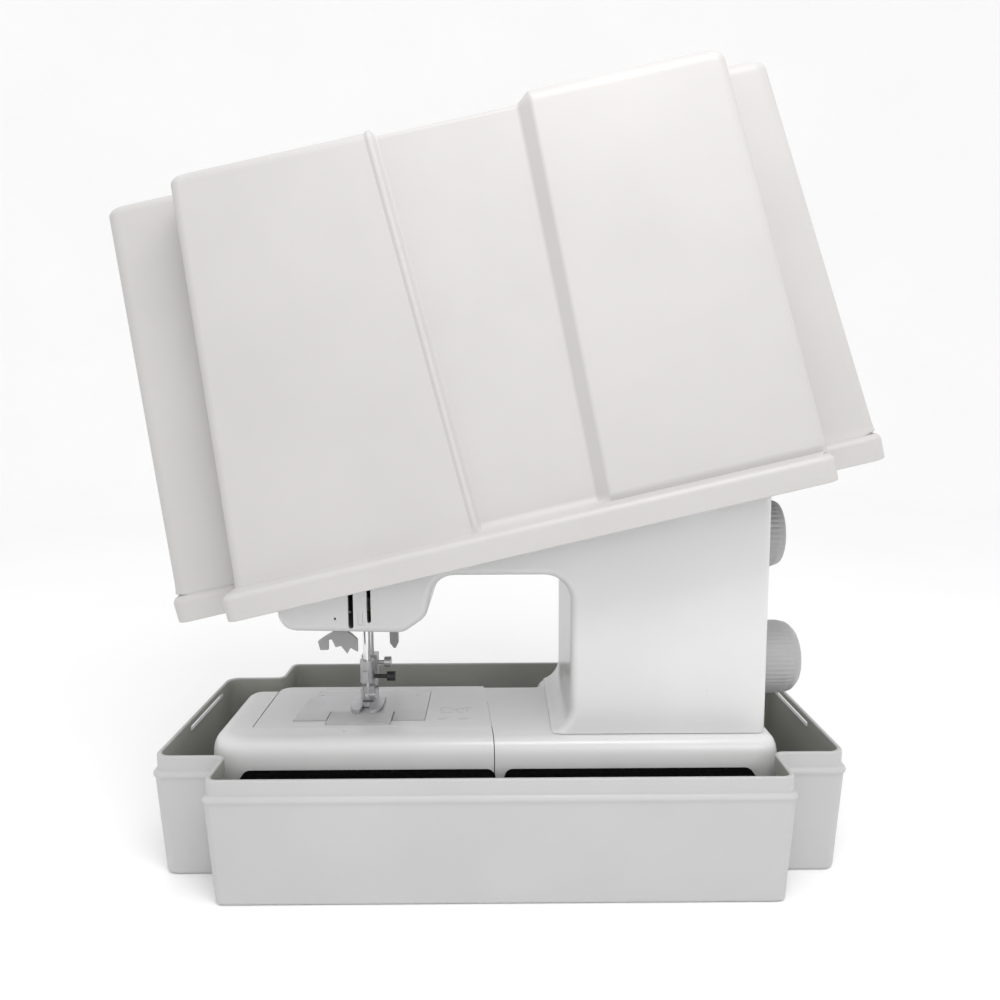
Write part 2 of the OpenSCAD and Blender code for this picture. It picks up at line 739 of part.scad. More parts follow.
// Connecting link; its upper eye stands just clear of the crank's face.
module needle_link() {
    stud_z = shaft_z - crank_throw - 24;
    color("dimgray") difference() {
        union() {
            along_z([needle_x, needle_y, stud_z - 5], 6, 10);
            along_x([needle_x, needle_y, stud_z], 3, 11);
            side_prism(round_path([
                [needle_y - 5, stud_z - 5], [needle_y + 5, stud_z - 5],
                [needle_y + 5, stud_z + 29], [needle_y - 5, stud_z + 29]
            ], 4.5), needle_x + 7, needle_x + 11);
        }
        along_z([needle_x, needle_y, stud_z - 6], rod_r + 0.01, 12);
    }
}

module take_up_lever() {
    color("silver") union() {
        along_x([needle_x - 12.5, -20, 240], 2.5, 13);
        side_prism(round_path([
            [-16, 236], [-16, 244], [-40, 250], [-60, 246], [-71, 250],
            [-72, 246], [-58, 240], [-40, 243], [-26, 238]
        ], 0.8), needle_x - 2.2, needle_x - 0.2);
    }
}

module presser_bar() {
    color("silver") union() {
        along_z([needle_x, presser_y, 114], rod_r, 146);
        along_z([needle_x, presser_y, 186], 5.5, 8);
    }
}

module foot_holder() {
    color("silver") difference() {
        union() {
            box([needle_x - 6, presser_y - 5, 104], [needle_x + 6, presser_y + 5, 128]);
            box([needle_x - 4, 1.5, 99], [needle_x + 4, presser_y + 5, 105]);
            along_x([needle_x + 4, presser_y, 121], 1.5, 9);
            along_x([needle_x + 11, presser_y, 121], 4.2, 5);
        }
        along_z([needle_x, presser_y, 114], rod_r + 0.01, 20);
        along_x([needle_x - 5, 4.5, 100.8], 1.3, 10);
    }
}

module presser_foot() {
    color("silver") difference() {
        union() {
            translate([0, 0, 93]) linear_extrude(2.4) polygon(round_path([
                [-112, -10], [-109, -22], [-103.5, -24], [-102.5, -10], [-97.5, -10], [-96.5, -24], [-91, -22],
                [-88, -10], [-88, 9], [-112, 9]
            ], 1));
            for (x = [-106.6, -95.6]) box([x, 2, 95.4], [x + 2.2, 8, 103]);
            along_x([-106.6, 4.5, 100.8], 1.25, 13.2);
        }
        box([needle_x - 4, needle_y - 2.2, 92], [needle_x + 4, needle_y + 1.8, 97]);
    }
}

// Compression spring round the presser bar, wound by a loop.
module presser_spring() {
    turns = 7;
    z0 = 194.4;
    pitch = 6;
    wire = 0.7;
    coil_r = 4.4;
    steps = turns * 14;
    sides = 6;
    rings = [for (i = [0:steps])
        let (a = i * 360 / 14, z = z0 + wire + i * pitch / 14)
        [for (s = [0:sides - 1])
            let (b = 360 * s / sides, r = coil_r + wire * cos(b))
            [needle_x + r * cos(a), presser_y + r * sin(a), z + wire * sin(b)]]];
    color("silver") skin(rings);
}

module presser_lifter() {
    color("darkgray") union() {
        along_y([-88, 50, 176], 4, 14);
        side = round_path([[-92, 180], [-92, 172], [-91, 122], [-87, 116], [-84, 122], [-84, 180]], 1.5);
        front_prism(side, 60, 64);
    }
}

// Threader rod with its swinging arm and hook, hanging left of the needle.
module needle_threader() {
    color("darkgray") union() {
        along_z([needle_x - 13.2, -15, 146], 2, 52);
        front_prism([
            [-105, 147], [-109, 151], [-113, 153.5], [-122, 153.5], [-129, 149.5], [-134, 146], [-132.5, 139.5],
            [-126.8, 139.5], [-126.5, 147], [-123.8, 147.5], [-121, 141.5], [-117, 142.5], [-112.5, 136.5],
            [-110, 141], [-105, 138]
        ], -17, -13);
    }
}

module work_lamp() {
    color("ivory") slab(-82, -24, -70, -8, head_under + 2.8, head_under + 6, 2);
}

// ---------- controls ----------

module pattern_dial() {
    color("darkgray") difference() {
        union() {
            translate([pillar_right + 0.5, dial_y, dial_z]) rotate([0, 90, 0]) rotate_extrude() polygon([
                [0, 0], [dial_r, 0], [dial_r, 20], [dial_r - 2, 27], [dial_r - 8, 31.5], [0, 32]
            ]);
            along_x([pillar_right - 8, dial_y, dial_z], 6, 9);
        }
        for (a = [0:12:348])
            translate([0, dial_y, dial_z]) rotate([a, 0, 0])
                along_x([pillar_right + 2, 0, dial_r + 0.5], 1.1, 17);
    }
}

// A front knob: cap, rim and a spindle that goes through the casing.
module front_knob(x, z, r, h) {
    union() {
        along_y([x, front_y - h, z], r, h - 0.3);
        along_y([x, front_y - 0.5, z], 4, 14);
    }
}

module tension_dial() color("white") front_knob(-58, 250, 12, 8);
module length_dial() color("white") front_knob(128, 262, 14, 9);

module reverse_button() {
    color("white") union() {
        along_y([80, front_y - 6, 262], 8, 14);
        along_y([80, front_y + 4, 262], 10, 3);
    }
}

module power_switch() {
    color("#202020") union() {
        along_y([bed_right - 2.4, 15, 47], 1.5, 18);
        side_prism([[14.6, 41], [33.4, 41], [33.4, 53], [14.6, 53]], bed_right - 6, bed_right - 0.8);
    }
}

// Socket for the mains lead, with its two pins.
module power_inlet() {
    color("#202020") difference() {
        box([bed_right - 12, -15.7, 36.3], [bed_right + 0.4, 5.7, 57.7]);
        box([bed_right - 9, -13.5, 39], [bed_right + 1, 3.5, 55]);
    }
    color("silver") for (y = [-9, -1]) along_x([bed_right - 9, y, 47], 1.5, 7);
}

module control_board() {
    color("seagreen") box([14, -58, 24], [58, -24, 25.6]);
    color("dimgray") for (x = [20, 38]) box([x, -50, 25.6], [x + 10, -38, 36]);
    color("silver") for (x = [18, 54], y = [-54, -28]) along_z([x, y, 18.05], 2, 5.95);
}

module casing_screws() {
    color("silver") {
        for (p = [[-120, 200], [-120, 270], [70, 120], [165, 120], [165, 275]]) {
            along_y([p.x, rear_y - 8, p.y], 1.75, 8);
            along_y([p.x, rear_y, p.y], 3, 1.6);
        }
        for (x = [46, 155], y = [-50, 40]) along_z([x, y, pan_z - 0.6], 2, 4);
        along_x([head_left - 1.8, -2, 194], 3, 1.2);
        along_x([head_left - 0.6, -2, 194], 1.75, 4);
    }
}

// ---------- nodes ----------

case_tray();
foam_blocks();
latch_pins();
latch(-1);  // latch_left
latch(1);  // latch_right
case_cover();
case_handle();
case_handle_pins();
front_casing();
rear_casing();
face_plate();
bed_casing();
base_pan();
rubber_feet();
machine_frame();
needle_plate();
bobbin_cover();
accessory_box();
carry_handle();
handle_pins();
spool_pin();
bobbin_winder_arm();
bobbin_winder_spindle();
winder_stop();
handwheel();
main_shaft();
needle_crank();
drive_pulley();
timing_pulley();
shaft_bushes();
motor();
motor_pulley();
motor_belt();
timing_belt();
lower_shaft();
hook();
bobbin_case();
bobbin();
feed_dog();
needle_bar();
needle_clamp();
needle_clamp_screw();
needle();
needle_link();
take_up_lever();
presser_bar();
foot_holder();
presser_foot();
presser_spring();
presser_lifter();
needle_threader();
work_lamp();
pattern_dial();
tension_dial();
length_dial();
reverse_button();
power_switch();
power_inlet();
control_board();
casing_screws();
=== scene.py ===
"""Looks of the sewing machine in its carrying case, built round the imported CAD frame."""

import json
import math

import bmesh
import bpy
from mathutils import Matrix, Vector


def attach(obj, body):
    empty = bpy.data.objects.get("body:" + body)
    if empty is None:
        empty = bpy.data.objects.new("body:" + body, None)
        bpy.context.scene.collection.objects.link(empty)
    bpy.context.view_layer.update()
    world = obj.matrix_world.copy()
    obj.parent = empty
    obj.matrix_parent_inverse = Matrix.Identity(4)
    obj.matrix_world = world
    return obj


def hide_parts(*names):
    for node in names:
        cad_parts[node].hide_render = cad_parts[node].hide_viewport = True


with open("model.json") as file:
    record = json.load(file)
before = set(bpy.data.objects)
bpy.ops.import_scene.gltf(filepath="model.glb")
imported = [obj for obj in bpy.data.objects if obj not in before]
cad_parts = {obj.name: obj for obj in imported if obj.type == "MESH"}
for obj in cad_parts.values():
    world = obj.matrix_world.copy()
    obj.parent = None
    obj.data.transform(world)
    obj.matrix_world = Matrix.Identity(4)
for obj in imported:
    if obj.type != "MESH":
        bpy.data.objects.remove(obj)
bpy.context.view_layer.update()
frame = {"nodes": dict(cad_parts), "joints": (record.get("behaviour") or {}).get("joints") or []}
nodes = frame["nodes"]
joints = {j["name"]: j for j in frame["joints"]}
scene = bpy.context.scene
MM = 0.001
SMALL_ROUND = 40    # sides of a small round bar or screw


# ---------- camera ----------

def make_camera():
    """The camera fitted to the outlines; its angles are in radians and its place in metres."""
    yaw, pitch, roll = 0.0030, 0.1192, -0.0053
    place = Vector((-0.0006, -0.621, 0.323))
    forward = Vector((math.sin(yaw) * math.cos(pitch), math.cos(yaw) * math.cos(pitch), -math.sin(pitch)))
    right = Vector((math.cos(yaw), -math.sin(yaw), 0))
    up = right.cross(forward)
    rolled_right = math.cos(roll) * right + math.sin(roll) * up
    rolled_up = math.cos(roll) * up - math.sin(roll) * right
    data = bpy.data.cameras.new("camera")
    data.lens = 30.2
    data.sensor_width = 36
    camera = bpy.data.objects.new("camera", data)
    turn = Matrix((rolled_right, rolled_up, -forward)).transposed().to_4x4()
    camera.matrix_world = Matrix.Translation(place) @ turn
    scene.collection.objects.link(camera)
    scene.camera = camera


# ---------- outlines, all in millimetres ----------

def arc(centre, r, start, end, steps):
    """Points on a circle's arc, from one angle to another."""
    return [centre + r * Vector((math.cos(a), math.sin(a)))
            for a in (start + (end - start) * i / steps for i in range(steps + 1))]


def rounded_corner(a, b, c, r, steps):
    """The points that replace the corner b, on the way from a to c, with an arc of radius r."""
    u, v = (a - b).normalized(), (c - b).normalized()
    if r <= 0 or (u + v).length < 1e-3:
        return [b]
    half = math.acos(max(-1, min(1, u.dot(v)))) / 2
    centre = b + (u + v).normalized() * r / math.sin(half)
    first, last = b + u * r / math.tan(half), b + v * r / math.tan(half)
    start = math.atan2(first.y - centre.y, first.x - centre.x)
    end = math.atan2(last.y - centre.y, last.x - centre.x)
    turn = (end - start + 3 * math.pi) % (2 * math.pi) - math.pi
    return arc(centre, r, start, start + turn, steps)


def round_path(points, radii, steps=7):
    """A closed path with rounded corners; radii is one radius, or a list with one for each corner."""
    points = [Vector(p) for p in points]
    radii = radii if isinstance(radii, list) else [radii] * len(points)
    out = []
    for i, r in enumerate(radii):
        out += rounded_corner(points[i - 1], points[i], points[(i + 1) % len(points)], r, steps)
    return out


def inset(path, t):
    """A closed anticlockwise path moved inwards by t."""
    out = []
    for i, p in enumerate(path):
        before = (p - path[i - 1]).normalized()
        after = (path[(i + 1) % len(path)] - p).normalized()
        n0, n1 = Vector((-before.y, before.x)), Vector((-after.y, after.x))
        out.append(p + t * (n0 + n1) / max(0.2, 1 + n0.dot(n1)))
    return out


def rectangle(x0, y0, x1, y1):
    return [(x0, y0), (x1, y0), (x1, y1), (x0, y1)]


def quarter(steps=6):
    """The angles of a quarter turn."""
    return [math.pi / 2 * i / steps for i in range(steps + 1)]


# ---------- meshes ----------

def new_mesh(name, points, faces):
    mesh = bpy.data.meshes.new(name)
    mesh.from_pydata([Vector(p) * MM for p in points], [], faces)
    mesh.validate()
    obj = bpy.data.objects.new(name, mesh)
    scene.collection.objects.link(obj)
    return obj


def skin(name, rings, caps=True, closed=False):
    """A surface through rings of equal length: capped, left open, or closed on itself."""
    n = len(rings[0])
    points = [p for ring in rings for p in ring]
    faces = []
    spans = len(rings) if closed else len(rings) - 1
    for k in range(spans):
        a, b = k * n, (k + 1) % len(rings) * n
        faces += [(a + i, a + (i + 1) % n, b + (i + 1) % n, b + i) for i in range(n)]
    if caps and not closed:
        faces.append(tuple(range(n - 1, -1, -1)))
        faces.append(tuple(range((len(rings) - 1) * n, len(rings) * n)))
    return new_mesh(name, points, faces)


def rounding(r, steps=5):
    """Pairs of (inset, distance from the end) along a quarter-round edge."""
    return [(r * (1 - math.sin(a)), r * (1 - math.cos(a))) for a in quarter(steps)] if r else [(0, 0)]


AXES = {
    "x": lambda p, d: (d, p.x, p.y),
    "y": lambda p, d: (p.x, d, p.y),
    "z": lambda p, d: (p.x, p.y, d),
}


def prism(name, path, lo, hi, axis="z", r_lo=0.0, r_hi=0.0, steps=5):
    """A path pushed along an axis, with its end edges rounded.

    The path is in (y, z), (x, z) or (x, y) for the axes x, y and z."""
    place = AXES[axis]
    rings = [[place(p, lo + away) for p in inset(path, t)] for t, away in rounding(r_lo, steps)]
    rings += [[place(p, hi - away) for p in inset(path, t)] for t, away in reversed(rounding(r_hi, steps))]
    obj = skin(name, rings)
    if axis == "y":
        obj.data.flip_normals()
    return obj


def lathe(name, profile, at, axis="z", segments=64, wave=None):
    """Turns a profile of (radius, height) about an axis through at.

    wave(angle, radius, height) adds to the radius."""
    rings = []
    for k in range(segments):
        a = 2 * math.pi * k / segments
        ring = []
        for r, h in profile:
            grown = r + (wave(a, r, h) if wave else 0)
            u, v = grown * math.cos(a), grown * math.sin(a)
            ring.append({"x": (h, u, v), "y": (v, h, u), "z": (u, v, h)}[axis])
        rings.append([Vector(p) + Vector(at) for p in ring])
    obj = skin(name, rings, closed=True)
    weld_and_face_out(obj)
    return obj


def weld_and_face_out(obj):
    """Welds double points, drops faces without area and turns the rest outwards."""
    bm = bmesh.new()
    bm.from_mesh(obj.data)
    bmesh.ops.remove_doubles(bm, verts=bm.verts, dist=1e-6)
    bmesh.ops.dissolve_degenerate(bm, edges=bm.edges, dist=1e-7)
    bmesh.ops.recalc_face_normals(bm, faces=bm.faces)
    bm.to_mesh(obj.data)
    bm.free()


def apply_modifiers(obj):
    """Writes the modifiers' result into the mesh."""
    bpy.context.view_layer.update()
    graph = bpy.context.evaluated_depsgraph_get()
    mesh = bpy.data.meshes.new_from_object(obj.evaluated_get(graph))
    obj.modifiers.clear()
    obj.data = mesh


def combine(obj, others, operation):
    """Cuts the other solids from obj, or joins them to it, and throws them away."""
    for other in others:
        for solid in (obj, other):
            weld_and_face_out(solid)
        m = obj.modifiers.new("bool", "BOOLEAN")
        m.operation = operation
        m.solver = "EXACT"
        m.object = other
        apply_modifiers(obj)
        bpy.data.objects.remove(other)
    return obj


def cut(obj, *others):
    return combine(obj, others, "DIFFERENCE")


def join(obj, *others):
    return combine(obj, others, "UNION")


def box(x0, y0, z0, x1, y1, z1, r=0.0, axis="z"):
    """A cutter or block; its edges along the axis have radius r."""
    corners, ends = {
        "x": ((y0, z0, y1, z1), (x0, x1)),
        "y": ((x0, z0, x1, z1), (y0, y1)),
        "z": ((x0, y0, x1, y1), (z0, z1)),
    }[axis]
    return prism("block", round_path(rectangle(*corners), r), *ends, axis)


def rod(at, r, length, axis="z"):
    """A round bar that starts at a point and runs up the axis."""
    return lathe("rod", [(0, 0), (r, 0), (r, length), (0, length)], at, axis, SMALL_ROUND)


def merge(obj, *others):
    """Joins meshes into one object without a boolean."""
    bm = bmesh.new()
    for part in (obj, *others):
        bm.from_mesh(part.data)
    bm.to_mesh(obj.data)
    bm.free()
    for part in others:
        bpy.data.objects.remove(part)
    return obj


def soften_edges(obj, width, angle):
    """Rounds the edges that are sharper than an angle; the width is in millimetres."""
    edges = obj.modifiers.new("edges", "BEVEL")
    edges.width = width * MM
    edges.segments = 2
    edges.limit_method = "ANGLE"
    edges.angle_limit = math.radians(angle)


def weight_normals(obj):
    normals = obj.modifiers.new("normals", "WEIGHTED_NORMAL")
    normals.keep_sharp = True


def give_material(obj, material):
    obj.data.materials.clear()
    obj.data.materials.append(MATERIALS[material])


def finish(obj, name, body, material, replaces=(), bevel=0.0, sharp=32, slot=None):
    """Names a piece, shades it, and says what it rides on and stands for.

    The slot argument is not used."""
    slot = slot or material
    obj.name = name
    obj.data.name = name
    weld_and_face_out(obj)
    for face in obj.data.polygons:
        face.use_smooth = True
    obj.data.set_sharp_from_angle(angle=math.radians(sharp))
    if bevel:
        soften_edges(obj, bevel, 38)
    weight_normals(obj)
    give_material(obj, material)
    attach(obj, body)
    if replaces:
        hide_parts(*replaces)


# ---------- materials ----------

EDGE_HIGHLIGHT_RANGE = (0.53, 0.61)             # the pointiness over which the painted edge highlight sets in
MIX_A, MIX_B, MIX_RESULT = 6, 7, 2    # a mix node's colour sockets


class Shader:
    """A small builder for node materials that read the object's own coordinates."""

    def __init__(self, name, color, rough, metallic=0.0, coat=0.0, specular=0.5):
        self.material = bpy.data.materials.new(name)
        self.material.use_nodes = True
        self.tree = self.material.node_tree
        self.bsdf = self.tree.nodes["Principled BSDF"]
        self.bsdf.inputs["Metallic"].default_value = metallic
        self.bsdf.inputs["Coat Weight"].default_value = coat
        self.bsdf.inputs["Specular IOR Level"].default_value = specular
        self.color = color
        self.rough = rough
        self.coords = self.tree.nodes.new("ShaderNodeTexCoord").outputs["Object"]
        self.height = None
        self.tint = None

    def link(self, a, b):
        self.tree.links.new(a, b)

    def noise(self, scale, detail, stretch=(1, 1, 1)):
        mapping = self.tree.nodes.new("ShaderNodeMapping")
        mapping.inputs["Scale"].default_value = stretch
        self.link(self.coords, mapping.inputs["Vector"])
        node = self.tree.nodes.new("ShaderNodeTexNoise")
        node.inputs["Scale"].default_value = scale
        node.inputs["Detail"].default_value = detail
        self.link(mapping.outputs["Vector"], node.inputs["Vector"])
        return node.outputs["Fac"]

    def cells(self, scale):
        """Distance from the middle of the nearest cell."""
        node = self.tree.nodes.new("ShaderNodeTexVoronoi")
        node.inputs["Scale"].default_value = scale
        self.link(self.coords, node.inputs["Vector"])
        return node.outputs["Distance"]

    def ramp(self, value, low, high, from_color, to_color):
        node = self.tree.nodes.new("ShaderNodeValToRGB")
        node.color_ramp.elements[0].position = low
        node.color_ramp.elements[1].position = high
        node.color_ramp.elements[0].color = (*from_color, 1)
        node.color_ramp.elements[1].color = (*to_color, 1)
        self.link(value, node.inputs["Fac"])
        return node.outputs["Color"]

    def mottle(self, scale, amount, stretch=(1, 1, 1)):
        """Colour that wanders a little to both sides of the base colour."""
        darker = [c * (1 - amount) for c in self.color]
        lighter = [min(1, c * (1 + amount)) for c in self.color]
        self.tint = self.ramp(self.noise(scale, 4, stretch), 0.3, 0.7, darker, lighter)
        return self

    def edge_highlight(self, color, strength):
        """Painted highlight: convex edges lightened towards another colour, from where the surface starts to
        bulge.
        """
        geometry = self.tree.nodes.new("ShaderNodeNewGeometry")
        edge = self.ramp(geometry.outputs["Pointiness"], *EDGE_HIGHLIGHT_RANGE, (0, 0, 0), (strength,) * 3)
        mix = self.tree.nodes.new("ShaderNodeMix")
        mix.data_type = "RGBA"
        self.link(edge, mix.inputs["Factor"])
        self.link(self.tint, mix.inputs[MIX_A])
        mix.inputs[MIX_B].default_value = (*color, 1)
        self.tint = mix.outputs[MIX_RESULT]
        return self

    def bump(self, value, strength, depth):
        """Adds a bump to those before it; its depth is in millimetres."""
        node = self.tree.nodes.new("ShaderNodeBump")
        node.inputs["Strength"].default_value = strength
        node.inputs["Distance"].default_value = depth * MM
        self.link(value, node.inputs["Height"])
        if self.height:
            self.link(self.height, node.inputs["Normal"])
        self.height = node.outputs["Normal"]
        return self

    def gloss(self, scale, spread, stretch=(1, 1, 1)):
        """Roughness that wanders to both sides of the base roughness."""
        node = self.tree.nodes.new("ShaderNodeMapRange")
        node.inputs["To Min"].default_value = max(0.02, self.rough - spread)
        node.inputs["To Max"].default_value = min(1, self.rough + spread)
        self.link(self.noise(scale, 3, stretch), node.inputs["Value"])
        self.link(node.outputs["Result"], self.bsdf.inputs["Roughness"])
        return self

    def done(self):
        if self.tint:
            self.link(self.tint, self.bsdf.inputs["Base Color"])
        if self.height:
            self.link(self.height, self.bsdf.inputs["Normal"])
        return self.material


def moulded(name, color, rough, grain=0.25, grain_scale=1400, coat=0.0, edge_highlight=0.25):
    """Plastic with a fine grain, a slightly wavy surface and a painted highlight on its convex edges."""
    s = Shader(name, color, rough, coat=coat)
    # lighter convex edges: painted highlight
    s.mottle(14, 0.025).edge_highlight([min(1, c * 1.12 + 0.02) for c in color], edge_highlight)
    s.gloss(30, 0.06)
    s.bump(s.noise(grain_scale, 2), grain, 0.06)
    s.bump(s.noise(9, 2), 0.12, 0.6)
    return s.done()


def metal(name, color, rough, stretch=(1, 1, 1), grain=900):
    """Metal with a fine grain, brushed along one axis where it is stretched, and a painted highlight on its
    convex edges.
    """
    s = Shader(name, color, rough, metallic=1.0)
    # lighter convex edges: painted highlight
    s.mottle(60, 0.07, stretch).edge_highlight([min(1, c * 1.3) for c in color], 0.3)
    s.gloss(120, 0.07, stretch)
    s.bump(s.noise(grain, 3, stretch), 0.18, 0.04)
    return s.done()


def foam_material():
    s = Shader("foam", (0.004, 0.004, 0.004), 1.0, specular=0.0)
    s.mottle(300, 0.35)
    s.bump(s.cells(1500), 0.8, 0.4)
    s.bump(s.noise(120, 4), 0.5, 0.8)
    return s.done()


def clear_material():
    s = Shader("clear_plastic", (0.82, 0.85, 0.86), 0.12)
    s.mottle(80, 0.03).gloss(60, 0.05).bump(s.noise(400, 2), 0.1, 0.05)
    s.bsdf.inputs["Transmission Weight"].default_value = 0.7
    return s.done()


def board_material():
    green, track = (0.03, 0.16, 0.07), (0.10, 0.30, 0.14)
    s = Shader("board", green, 0.4, coat=0.3)
    cells = s.cells(260)
    s.tint = s.ramp(cells, 0.05, 0.09, track, green)
    s.bump(cells, 0.2, 0.1)
    return s.done()


# Each plastic lightens its convex edges as a painted highlight, some more and some less.
MATERIALS = {
    "tray_plastic": moulded("tray_plastic", (0.455, 0.455, 0.455), 0.42, edge_highlight=0.12),
    # the tray plastic again, rougher and darker for the faces in the hollow: the darker colour is painted shade
    "tray_hollow_painted_shade": moulded("tray_hollow_painted_shade", (0.36, 0.36, 0.33), 0.62, edge_highlight=0.1),
    "cover_plastic": moulded("cover_plastic", (0.485, 0.473, 0.467), 0.42, grain=0.18, edge_highlight=0.2),
    "machine_plastic": moulded("machine_plastic", (0.69, 0.69, 0.69), 0.30, grain=0.10, coat=0.15),
    "arm_plastic": moulded("arm_plastic", (0.65, 0.65, 0.655), 0.34, grain=0.12),
    "dial_plastic": moulded("dial_plastic", (0.36, 0.36, 0.36), 0.42),
    "slide_plastic": moulded("slide_plastic", (0.52, 0.52, 0.52), 0.38),
    "mark_grey": moulded("mark_grey", (0.56, 0.56, 0.56), 0.5, edge_highlight=0.0),
    "dark_plastic": moulded("dark_plastic", (0.018, 0.018, 0.018), 0.45),
    "rubber": moulded("rubber", (0.03, 0.03, 0.03), 0.8, grain=0.5, grain_scale=900),
    "cast_alloy": metal("cast_alloy", (0.55, 0.55, 0.56), 0.55, grain=500),
    "plate_steel": metal("plate_steel", (0.52, 0.52, 0.53), 0.42, stretch=(0.12, 1, 1), grain=2500),
    "bright_steel": metal("bright_steel", (0.74, 0.74, 0.75), 0.16),
    "dark_steel": metal("dark_steel", (0.33, 0.33, 0.34), 0.38),
    "bronze": metal("bronze", (0.62, 0.42, 0.20), 0.45, grain=1500),
    "foam": foam_material(),
    "clear_plastic": clear_material(),
    "board": board_material(),
}


# ---------- the case ----------

# Overall width and depth, the middle bay's width, the end bays' depth, the tray's height, and the wall.
CASE_W, CASE_D, BAY_W, END_D, TRAY_H, WALL = 467, 236, 374, 162, 86, 2.6
# Where the cover's wall starts, how high it is, where the skirt ends, and the lid's fall to the right.
SHOULDER, COVER_H, SKIRT, LID_SLOPE = 97, 245, 76.5, 0.02
# The latches' pins.
LATCH_X, LATCH_Y, LATCH_Z = CASE_W / 2 + 4, 20, 64
# Corners seen from above: outer, inner, and the middle bay's.
END_R, INNER_R, BAY_R = 9, 6, 5.5


def tray_path(grow):
    """The deep middle bay with its two shallow end bays, as a rounded path moved outwards by grow."""
    bx, by, ex, ey = BAY_W / 2 + grow, CASE_D / 2 + grow, CASE_W / 2 + grow, END_D / 2 + grow
    points = [(ex, -ey), (ex, ey), (bx, ey), (bx, by), (-bx, by), (-bx, ey),
              (-ex, ey), (-ex, -ey), (-bx, -ey), (-bx, -by), (bx, -by), (bx, -ey)]
    radii = [END_R, END_R, INNER_R, BAY_R, BAY_R, INNER_R] * 2
    return round_path(points, radii, 8)


def flat_ring(path, z):
    return [(p.x, p.y, z) for p in path]


def make_tray():
    """One skin that runs up the outside, over the lip and down into the hollow."""
    draft, foot_r, wall_top, step = 2.2, 2.8, 69, 1.2
    bead, bead_r, bead_z = 2.2, 3, wall_top + 3.6
    lip_z, lip_r = wall_top + 8, 1.1
    floor_z, floor_r = 3, 4
    rings = [(-draft - foot_r * (1 - math.sin(a)), foot_r * (1 - math.cos(a))) for a in quarter()]
    rings += [(step - 0.1, wall_top - 1)]
    rings += [(bead - bead_r + bead_r * math.cos(a), bead_z + bead_r * math.sin(a))
              for a in (math.radians(d) for d in (-45, -22, 0, 25, 50, 72))]
    rings += [(0, lip_z)]
    lip = [(lip_r * (1 - math.cos(a)), TRAY_H - lip_r * (1 - math.sin(a))) for a in quarter(3)]
    rings += [(-t, z) for t, z in lip] + [(-WALL + t, z) for t, z in reversed(lip)]
    rings += [(-WALL, lip_z), (step - WALL - 0.2, wall_top), (-draft - WALL, foot_r + floor_r)]
    rings += [(-draft - WALL - floor_r * (1 - math.cos(a)),
               foot_r + floor_r - (foot_r + floor_r - floor_z) * math.sin(a)) for a in quarter(4)][1:]
    tray = skin("case_tray_shell", [flat_ring(tray_path(g), z) for g, z in rings])
    for side in (-1, 1):
        end = side * CASE_W / 2
        cut(tray, box(end - 7, LATCH_Y - 37, 77.75, end + 7, LATCH_Y + 37, 81.25, 1.6, "x"))
    merge(tray, *[latch_knuckle(side, LATCH_Y + dy) for side in (-1, 1) for dy in (-24, 24)])
    finish(tray, "case_tray_shell", "case", "tray_plastic", ["case_tray"], sharp=40)
    # Faces that look into the hollow get the darker copy of the tray plastic: painted shade in the hollow.
    tray.data.materials.append(MATERIALS["tray_hollow_painted_shade"])
    hollow = tray_path(-2)
    for face in tray.data.polygons:
        face.material_index = int(is_inside(face, hollow, TRAY_H - 2.2))


def latch_knuckle(side, y):
    x0, x1 = sorted((side * (CASE_W / 2 - 1), side * (LATCH_X + 2.4)))
    knuckle = box(x0, y - 2.5, LATCH_Z - 3, x1, y + 2.5, LATCH_Z + 5.5, 1.5, "y")
    return cut(knuckle, rod((side * LATCH_X, y - 4, LATCH_Z), 1.25, 8, "y"))


def is_inside(face, path, top):
    """Whether a face of the tray looks into its hollow: a point a little in front of it lies in there."""
    ahead = face.center / MM + face.normal * 4
    below_top = face.normal.z > -0.3 and face.center.z / MM < top
    return below_top and ahead.z > 4 and point_in(path, ahead.x, ahead.y)


def point_in(path, x, y):
    """Whether a point lies in a closed path: a line from it crosses the path an odd number of times."""
    hit = False
    for i, p in enumerate(path):
        q = path[i - 1]
        if (p.y > y) != (q.y > y) and x < (q.x - p.x) * (y - p.y) / (q.y - p.y) + p.x:
            hit = not hit
    return hit


# The cover is drawn closed and then swung up to the pose in which it is held.
SWING = joints["cover_swing"]
HELD = (Matrix.Translation(SWING["pos_m"])
        @ Matrix.Rotation(math.radians(SWING["range_deg"][1]), 4, Vector(SWING["axis"]))
        @ Matrix.Translation(-Vector(SWING["pos_m"])))
ON_LID = (HELD @ Matrix.Translation((0, 0, (SHOULDER + COVER_H) * MM))
          @ Matrix.Rotation(math.atan(LID_SLOPE), 4, "Y"))
HANDLE_Z = -8    # the case handle's pins, below the lid's top
# The cover's three front bands: the middle one sinks in, the right one stands out, and a ridge parts
# the left two.
SUNK, PROUD, RIDGE = 3.6, 2.8, 1.0
# The wall's half sizes at its foot, in the order of plan_sizes, and how far each draws in up to the top.
WALL_FOOT, WALL_DRAW = (184, 190, 113.5, 236, 80), (24, 12, 12, 21, 12)


